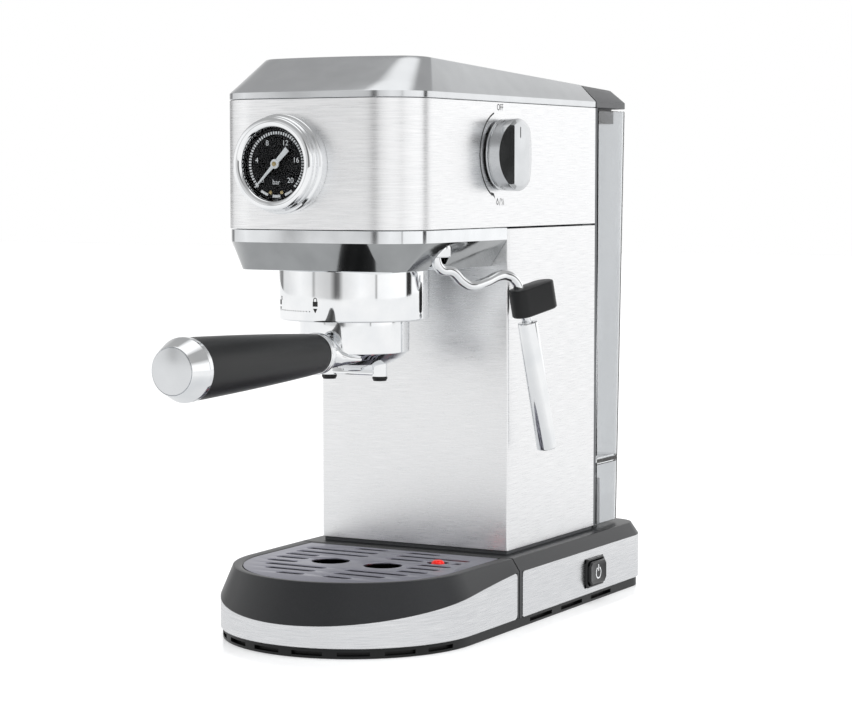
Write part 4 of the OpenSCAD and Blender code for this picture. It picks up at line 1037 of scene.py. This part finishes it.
def makeKnob():
    low, high = spanOf("steam_knob")
    at = (columnHalf + 1, (low[1] + high[1]) / 2, (low[2] + high[2]) / 2)
    r, top = knob["radius"], knob["out"] - 1
    profile = softened([(0, -18), (3, -18), (3, 0), (r - 0.6, 0), (r - 0.2, 0.9), (r - 1.3, 1.5),
                        (r - 1.3, 2.0), (r, 2.6), (r, top - 1.0), (r - 2.4, top), (0, top)], 0.35, 4)
    mesh = meshFrom("knob", lathe(profile, at, (1, 0, 0), 128))
    work = bmesh.new()
    work.from_mesh(mesh)
    for side, ridge, fall in knob["cuts"]:
        # a slanting cut from the ridge down to the rim
        run = r - ridge
        normal = Vector((run, side * fall, 0)).normalized()
        place = Vector((at[0] + top, at[1] + side * ridge, at[2])) * mm
        cut = bmesh.ops.bisect_plane(work, geom=work.verts[:] + work.edges[:] + work.faces[:], dist=1e-7,
                                     plane_co=place, plane_no=normal, clear_outer=True)
        edges = [e for e in cut["geom_cut"] if isinstance(e, bmesh.types.BMEdge)]
        bmesh.ops.holes_fill(work, edges=edges, sides=0)
    bmesh.ops.recalc_face_normals(work, faces=work.faces)
    points = [tuple(v.co / mm) for v in work.verts]
    work.verts.index_update()
    faces = [tuple(v.index for v in f.verts) for f in work.faces]
    work.free()
    bpy.data.meshes.remove(mesh)
    turned = makePiece("knob_body", (points, faces), knobMetal, "knob", ["steam_knob"], 12)
    turned.data.materials.append(paintedShadeChrome)
    # the knob's left cut facet gets the darker chrome: painted shade
    for face in turned.data.polygons:
        if face.normal.x > 0.9 and face.normal.y < -0.1:
            face.material_index = 1
    mark = cutSheet([roundedBox(1.0, 6.0, 0.45, 4)], 0.1)
    makePiece("knob_mark", placed(mark, lambda p: Vector(at) + Vector((top + printLift, p.x, p.y + r - 7.5))),
              printBlack, "knob", ())
    printKnob(at)


def printKnob(at):
    # ring arrow from OFF at the top to the steam and water signs at the bottom
    r = knob["printRadius"]
    sweep = arc((0, 0), r + 0.45, 108, 248, 40) + arc((0, 0), r - 0.45, 248, 108, 40)
    tip = [(r * math.cos(math.radians(a)) + x, r * math.sin(math.radians(a)) + y)
           for a, x, y in ((247, 1.9, 0.9), (247, -1.6, 1.6), (255, 0.4, -1.0))]
    shapes = [cutSheet([sweep], 0.06), cutSheet([tip], 0.06)]
    shapes.append(placed(lettering("OFF", 5.0), lambda p: Vector((p.x * 0.85, p.y + 25.6, p.z))))
    drop = [(0, 2.1)] + arc((0, -0.4), 1.25, 30, -210, 18)
    hollow = [(0, 1.1)] + arc((0, -0.4), 0.8, 30, -210, 18)
    shapes.append(placed(cutSheet([drop, hollow], 0.06),
                         lambda p: Vector((p.x - 3.0, p.y - knob["signDrop"], p.z))))
    shapes.append(cutSheet([[(-0.9, -27.4), (-0.5, -27.4), (0.9, -23.4), (0.5, -23.4)]], 0.06))
    for k in (0, 1.7):
        wave = [(2.2 + k + 0.5 * math.sin(v * 1.6), -27.2 + v) for v in [i * 0.35 for i in range(11)]]
        shapes.append(cutSheet([wave + [(x + 0.4, y) for x, y in reversed(wave)]], 0.06))
    flat = joined(*shapes)
    wrapped = placed(flat, lambda p: Vector((columnHalf + printLift + abs(p.z), at[1] + p.x, at[2] + p.y)))
    makePiece("knob_print", wrapped, printBlack, "machine", ())


makeColumn()
makeHead()
makeCap()
makeLowerCap()
makeGauge()
makeNeedle()
makeKnob()
print("column and head made")

# ---- top: buttons ----

buttons = {"radius": 8, "rise": 0.8, "depth": 7.4, "pitch": 25}


def makeButtons():
    r, rise = buttons["radius"], buttons["rise"]
    for k, (body, node) in enumerate((("single_button", "button_one"), ("double_button", "button_two"),
                                      ("steam_button", "button_steam"))):
        x = (k - 1) * buttons["pitch"]
        profile = softened([(0, -buttons["depth"]), (r, -buttons["depth"]), (r, rise - 0.1, 0.7),
                            (r - 1.8, rise, 0.5), (0, rise - 0.7)], 0.5, 5)
        cap = placed(lathe(profile, (x, buttonRow, 0), (0, 0, 1), 64), onTop)
        makePiece(node + "_cap", cap, knobMetal, body, [node], 30)
        if k < 2:
            signs = [cutSheet([arc((s, 0), 1.3, 0, 348, 29)], 0.08) for s in ((0,), (-2, 2))[k]]
        else:
            signs = []
            for s in (-2, 0, 2):
                wave = [(s + 0.5 * math.sin(v * 1.5), v - 2.4) for v in [i * 0.4 for i in range(13)]]
                signs.append(cutSheet([wave + [(a + 0.5, b) for a, b in reversed(wave)]], 0.08))
        sign = placed(joined(*signs), lambda p: onTop(p + Vector((x, buttonRow, rise - 0.6))))
        makePiece(node + "_sign", sign, printBlack, body, ())


makeButtons()
print("buttons made")

# ---- brew group and filter holder ----

group = {"collar": 40.4, "cup": 29.7, "cupLow": spanOf("holder_cup")[0][2] + 9, "spoutGap": 31.6,
         "spout": 4.0, "neck": 32.7, "gripStart": 41.7, "gripEnd": 159, "end": 172, "root": 10.6,
         "grip": 15.7, "lockedAt": -90.0, "openAt": -135.0}
handleLow, handleHigh = spanOf("handle_grip")
handleZ = (handleLow[2] + handleHigh[2]) / 2


def makeCollar():
    z0, z1, r = collarLow[2], collarHigh[2], group["collar"]
    profile = softened([(31.0, z0 + 0.2), (r - 0.5, z0), (r, z0 + 0.7, 0.5), (r, z1, 0.5), (26, z1),
                        (26, z1 - 4), (r - 5.5, z1 - 4), (r - 5.5, z0 + 3), (31.0, z0 + 3),
                        (31.0, z0 + 0.2)], 0.3, 4)
    makePiece("group_ring", lathe(profile, (0, groupY, 0), (0, 0, 1), 160, True), chrome, "machine",
              ["group_collar"], 30)

    def around(angle, low):
        # wraps a flat sign round the collar
        return lambda p: Vector(((r + printLift + abs(p.z)) * math.cos(math.radians(angle) + p.x / r),
                                 groupY + (r + printLift + abs(p.z)) * math.sin(math.radians(angle) + p.x / r),
                                 low + p.y))

    def padlock(turn):
        body = cutSheet([[(-1.5, 0), (1.5, 0), (1.5, 2.6), (-1.5, 2.6)]], 0.06)
        hoop = ([(1.15, 2.5)] + arc((0, 3.5), 1.15, 0, 180, 12) + [(-1.15, 2.5), (-0.75, 2.5)]
                + arc((0, 3.5), 0.75, 180, 0, 12) + [(0.75, 2.5)])
        return joined(body, cutSheet([[(x + turn, y) for x, y in hoop]], 0.06))
    arrow = cutSheet([[(-1.3, 0), (0, -2.4), (1.3, 0)]], 0.06)
    shut, unlocked = group["lockedAt"], group["openAt"]
    signs = [placed(padlock(0), around(shut, z0 + 8.3)), placed(arrow, around(shut, z0 + 7.2)),
             placed(padlock(1.9), around(unlocked, z0 + 8.3)), placed(arrow, around(unlocked, z0 + 7.2))]
    dots = marks(13, r + printLift, unlocked + 5, shut - unlocked - 10, (0.1, 0.55, 0.55), printBlack)
    signs.append(placed(dots, lambda p: Vector((p.x, groupY + p.y, z0 + 5.6 + p.z))))
    makePiece("lock_signs", joined(*signs), printBlack, "machine", ())


def makeHolder():
    r, z = group["cup"], group["cupLow"]
    top = collarLow[2] + 9.3
    profile = softened([(3.0, z - 8.8), (7.5, z - 8.9), (13, z - 8.3), (20, z - 6.2), (25.6, z - 3.2),
                        (28.4, z - 0.9, 0.4), (r, z + 0.2, 0.4), (r, top), (r - 2.1, top), (r - 2.2, z + 2),
                        (24, z - 1.6), (14, z - 6), (3.0, z - 7), (3.0, z - 8.8)], 0.6, 4)
    cup = lathe(profile, (0, groupY, 0), (0, 0, 1), 128, True)
    rings = []
    for out, wide, tall, mid in ((22, 17.5, 3.2, z - 2.6), (27, 14.0, 4.8, z - 2.1),
                                 (30, 10.8, 6.4, z - 1.2), (32, 8.9, 7.6, handleZ - 0.4),
                                 (34, 8.3, 8.3, handleZ)):
        rings.append([(wide * math.cos(a), groupY - out, mid + tall * math.sin(a))
                      for a in [2 * math.pi * k / 48 for k in range(48)]])
    lugs = [prism([(s * x, groupY + y) for x, y in ((28, -7), (34, -6.6), (34, 6.6), (28, 7))],
                  collarLow[2] + 3.6, collarLow[2] + 7.4) for s in (-1, 1)]
    makePiece("holder_body", joined(cup, loft(rings), *lugs), chrome, "filter_holder", ["holder_cup"],
              30)


def alongHandle(profile, name, material, stands, steps=96):
    makePiece(name, lathe(profile, (0, groupY, handleZ), (0, -1, 0), steps), material, "filter_holder",
              stands, 28)


def makeHandle():
    n, a, b, e = group["neck"], group["gripStart"], group["gripEnd"], group["end"]
    root, wide = group["root"], group["grip"]
    alongHandle(softened([(0, n - 2), (8.3, n - 2), (8.3, n + 1.4), (8.9, n + 2.6), (10.3, n + 3.2),
                          (11.1, n + 4.6, 0.8), (10.9, n + 6.2, 0.4), (10.1, n + 6.6, 0.2),
                          (10.1, n + 7.2, 0.2), (11.2, n + 7.6, 0.4), (root + 0.4, a, 0.3), (0, a)], 0.4),
                "handle_ferrule", chrome, ["handle_neck"])
    sides = [(root + (wide - root) * (t ** 0.92) + 0.35 * math.sin(math.pi * t), a + (b - a) * t)
             for t in [k / 12 for k in range(13)]]
    alongHandle([(0, a), (root - 0.8, a), (root - 0.1, a + 0.25)] + sides[1:-1]
                + [(wide - 0.2, b - 0.1), (0, b)],
                "handle_sleeve", softBlack, ["handle_grip"], 112)
    alongHandle(softened([(0, b), (wide, b), (wide + 0.25, b + 0.5), (wide + 0.25, b + 3.4, 0.3),
                          (wide - 3.6, e - 0.7, 0.3), (wide - 3.9, e - 0.3, 0.2),
                          (wide - 4.2, e - 0.8, 0.1), (0, e - 0.8)], 0.3),
                "handle_end", chrome, ["handle_cap"], 112)
    alongHandle(softened([(0, e - 0.9), (wide - 4.25, e - 0.9), (wide - 4.25, e - 0.15, 0.3), (0, e)], 0.3),
                "handle_disc", satinCap, ())


def makeSpout():
    low = spanOf("spout_tips")[0][2]
    gap, r = group["spoutGap"] / 2, group["spout"]
    parts, tips = [], []
    for s in (-1, 1):
        pipe = softened([(2.4, low + 2.2), (r, low + 2.2), (r, low + 12.4), (r - 1, low + 13.2),
                         (2.4, low + 13.2), (2.4, low + 2.2)], 0.5)
        parts.append(lathe(pipe, (s * gap, groupY, 0), (0, 0, 1), 48, True))
        tip = softened([(2.3, low), (r - 0.5, low), (r - 0.2, low + 0.9), (r + 0.1, low + 1.1),
                        (r + 0.1, low + 2.2), (2.3, low + 2.2), (2.3, low)], 0.2)
        tips.append(lathe(tip, (s * gap, groupY, 0), (0, 0, 1), 48, True))
    tie = prism([(x, groupY + y) for x, y in roundedBox(2 * gap, 3.4, 1.5)], low + 2.8, low + 8.6, 0.5)
    funnel = lathe(softened([(0, low + 5), (6.5, low + 5), (8.4, low + 10.5), (0, low + 10.5)], 1),
                   (0, groupY, 0), (0, 0, 1), 64)
    makePiece("twin_spout", joined(tie, funnel, *parts), chrome, "filter_holder", ["spout"], 30)
    makePiece("twin_tips", joined(*tips), blackPlastic, "filter_holder", ["spout_tips"], 30)


makeCollar()
makeHolder()
makeHandle()
makeSpout()
print("group made")

# ---- steam wand ----


def wandPoint(run, drop):
    a = math.radians(wand["turn"])
    return Vector((wand["x"] + run * math.cos(a), groupY + run * math.sin(a), wand["top"] + drop))


def makeWand():
    pipe = tube([wandPoint(*p) for p in wand["path"]], wand["radius"], 32, chrome)
    run, drop = wand["sleeveRun"]
    a = math.radians(wand["turn"])
    down = Vector((run * math.cos(a), run * math.sin(a), drop)).normalized()
    start = wandPoint(*wand["sleeveTop"])
    inner = lathe(softened([(0, -1), (wand["radius"], -1), (wand["radius"], 59, 0.8), (0, 60)], 0.5),
                  start, down, 32)
    stem = lathe(softened([(0, -4), (5.8, -4), (5.8, 4), (0, 4)], 0.6), wandPoint(0, 0), (0, 0, 1), 48)
    makePiece("wand_pipe", joined(pipe, inner, stem), chrome, "steam_wand", ["wand_tube"], 35)
    s, length = wand["sleeve"], wand["sleeveLength"]
    bore = wand["radius"] + 0.3
    profile = softened([(bore, 0.5), (s - 0.3, 0.5), (s, 1.2), (s, length - 0.5, 0.5),
                        (s - 0.6, length, 0.2), (4.4, length, 0.2), (4.1, length - 1), (4.1, 62),
                        (bore, 61), (bore, 0.5)], 0.3)
    makePiece("froth_tube", lathe(profile, start, down, 64, True), chrome, "sleeve", ["froth_sleeve"],
              30)
    long, deep, tall = wand["grip"]
    t = math.radians(wand["gripTilt"])
    ex = Vector((math.cos(a) * math.cos(t), math.sin(a) * math.cos(t), math.sin(t)))
    ez = Vector((-math.cos(a) * math.sin(t), -math.sin(a) * math.sin(t), math.cos(t)))
    ey = ez.cross(ex)
    middle = wandPoint(*wand["gripMiddle"]) + ex * wand["gripShift"]
    block = prism(roundedBox(long, deep, 6.2, 12), -tall / 2, tall / 2, 0.7)
    makePiece("wand_handle", placed(block, lambda p: middle + ex * p.x + ey * p.y + ez * p.z), softBlack,
              "steam_wand", ["wand_grip"], 30)
    z0, z1 = socketLow[2], socketHigh[2]
    bush = softened([(5.9, z0), (7.6, z0), (8, z0 + 0.6), (8, z1), (5.9, z1), (5.9, z0)], 0.3)
    makePiece("wand_bush", lathe(bush, (wand["x"], groupY, 0), (0, 0, 1), 64, True), chrome, "machine",
              ["wand_socket"], 30)


makeWand()
print("wand made")

# ---- water tank ----

tank = {"corner": 6, "wall": 2.2, "lean": 9, "floor": 77}
tankLow, tankHigh = spanOf("water_tank")


def tankRing(inset, z):
    x = columnHalf - inset
    depth = (tankHigh[2] - min(z, tankHigh[2])) / (tankHigh[2] - tankLow[2])
    rear = tankHigh[1] - tank["lean"] * depth
    r, front = tank["corner"], tankLow[1] + inset
    right = [(x, front + (rear - r - front) * k / 4) for k in range(4)]
    right += arc((columnHalf - r, rear - r), r - inset, 0, 90, 14)
    ring = right + [(-a, b) for a, b in reversed(right)]
    return [(a, b, z) for a, b in ring]


def makeTank():
    top, foot, wall, floor = tankHigh[2], tankLow[2], tank["wall"], tank["floor"]
    steps = 6
    rings = [tankRing(wall + 1.2, floor + wall)]
    rings += [tankRing(wall, floor + wall + 1.2 + (top - floor - wall - 1.4) * k / steps)
              for k in range(steps + 1)]
    rings += [tankRing(wall - 0.3, top), tankRing(0.3, top)]
    rings += [tankRing(0, top - 0.3 + (foot + 0.6 - top) * k / steps) for k in range(steps + 1)]
    rings += [tankRing(0.3, foot), tankRing(wall - 0.2, foot), tankRing(wall, foot + 0.4),
              tankRing(wall, floor - 1), tankRing(wall + 1, floor)]
    makePiece("tank_shell", loft(rings), tankClear, "tank", ["water_tank"], 30)
    line = cutSheet([[(-6, -0.3), (6, -0.3), (6, 0.3), (-6, 0.3)]], 0.08)
    rear = tankHigh[1] - tank["lean"] * 0.14  # the leaning rear wall at the line's height
    line = placed(line, lambda p: Vector((p.x - 38, rear + printLift + abs(p.z), p.y + top - 32)))
    makePiece("level_line", line, printBlack, "tank", ())


def lidRing(t, inset=0.0):
    # from the tank's outline at 0 to the narrower top at 1
    front = capRear + 1.4
    low, high = headHigh[2] + head["capBand"], rearTop - 0.2
    w = columnHalf - head["capSideIn"] * t - inset
    rear = tankHigh[1] + 0.2 - 2.4 * t - inset
    r = tank["corner"] * (1 - 0.55 * t)
    right = [(w, front + inset + (rear - r - front - inset) * k / 4) for k in range(4)]
    right += arc((w - r, rear - r), r, 0, 90, 14)
    ring = right + [(-a, b) for a, b in reversed(right)]
    return [(a, b, low + (high - (b - capRear) * topSlope - low) * t) for a, b in ring]


def makeLid():
    low, band, wall = headHigh[2] + 0.25, headHigh[2] + head["capBand"], head["wall"]

    def flat(inset, z):
        return [(x, y, z) for x, y, _ in lidRing(0, inset)]
    rings = [[(x, y, z - wall) for x, y, z in lidRing(0.9, wall)], flat(wall, band - 0.5), flat(wall, low),
             flat(0.3, low), flat(0, low + 0.3), flat(0, band - 0.2), lidRing(0.02, 0.05)]
    rings += [lidRing(t) for t in (0.35, 0.7, 0.97)] + [lidRing(1.0, 0.3), lidRing(1.0, 1.0)]
    plugOutline = roundedBox(2 * (columnHalf - 5), 27, 6)
    plugY = (tankLow[1] + tankHigh[1]) / 2 - 0.6
    plug = loft([[(x, plugY + y, z) for x, y in plugOutline] for z in (low - 9, low + 2)])
    pin = lathe(softened([(0, -30), (1, -30), (1, 30), (0, 30)], 0.2),
                (0, tankHigh[1] + 1.0, headHigh[2] + 0.8), (1, 0, 0), 24)
    makePiece("lid_shell", joined(loft(rings), plug, pin), lidGrey, "lid", ["tank_lid"], 26)


makeTank()
makeLid()
print("tank made")

# ---- materials on the CAD nodes that stay ----

coats = {
    blackPlastic: ["base_plate", "cord_gland", "solenoid_valve", "knob_bush", "button_panel"],
    rubber: ["rubber_feet", "pump_mounts", "group_gasket"],
    wallGrey: ["tank_dock"],
    innerGrey: ["column_back", "head_floor"],
    topSteel: ["cup_plate"],
    zincSteel: ["base_screws", "boiler_screws", "screen_screw", "filter_basket", "shower_screen"],
    sealRed: ["dock_seal"],
    cast: ["boiler"],
    pumpBlue: ["pump"],
    silicone: ["suction_hose", "pressure_hose", "steam_hose", "tank_valve", "thermostats"],
    brass: ["steam_valve"],
    boardGreen: ["control_board"],
}
for coat, names in coats.items():
    for name in names:
        for place in nodes[name].material_slots:
            place.material = coat
        if not nodes[name].material_slots:
            nodes[name].data.materials.append(coat)
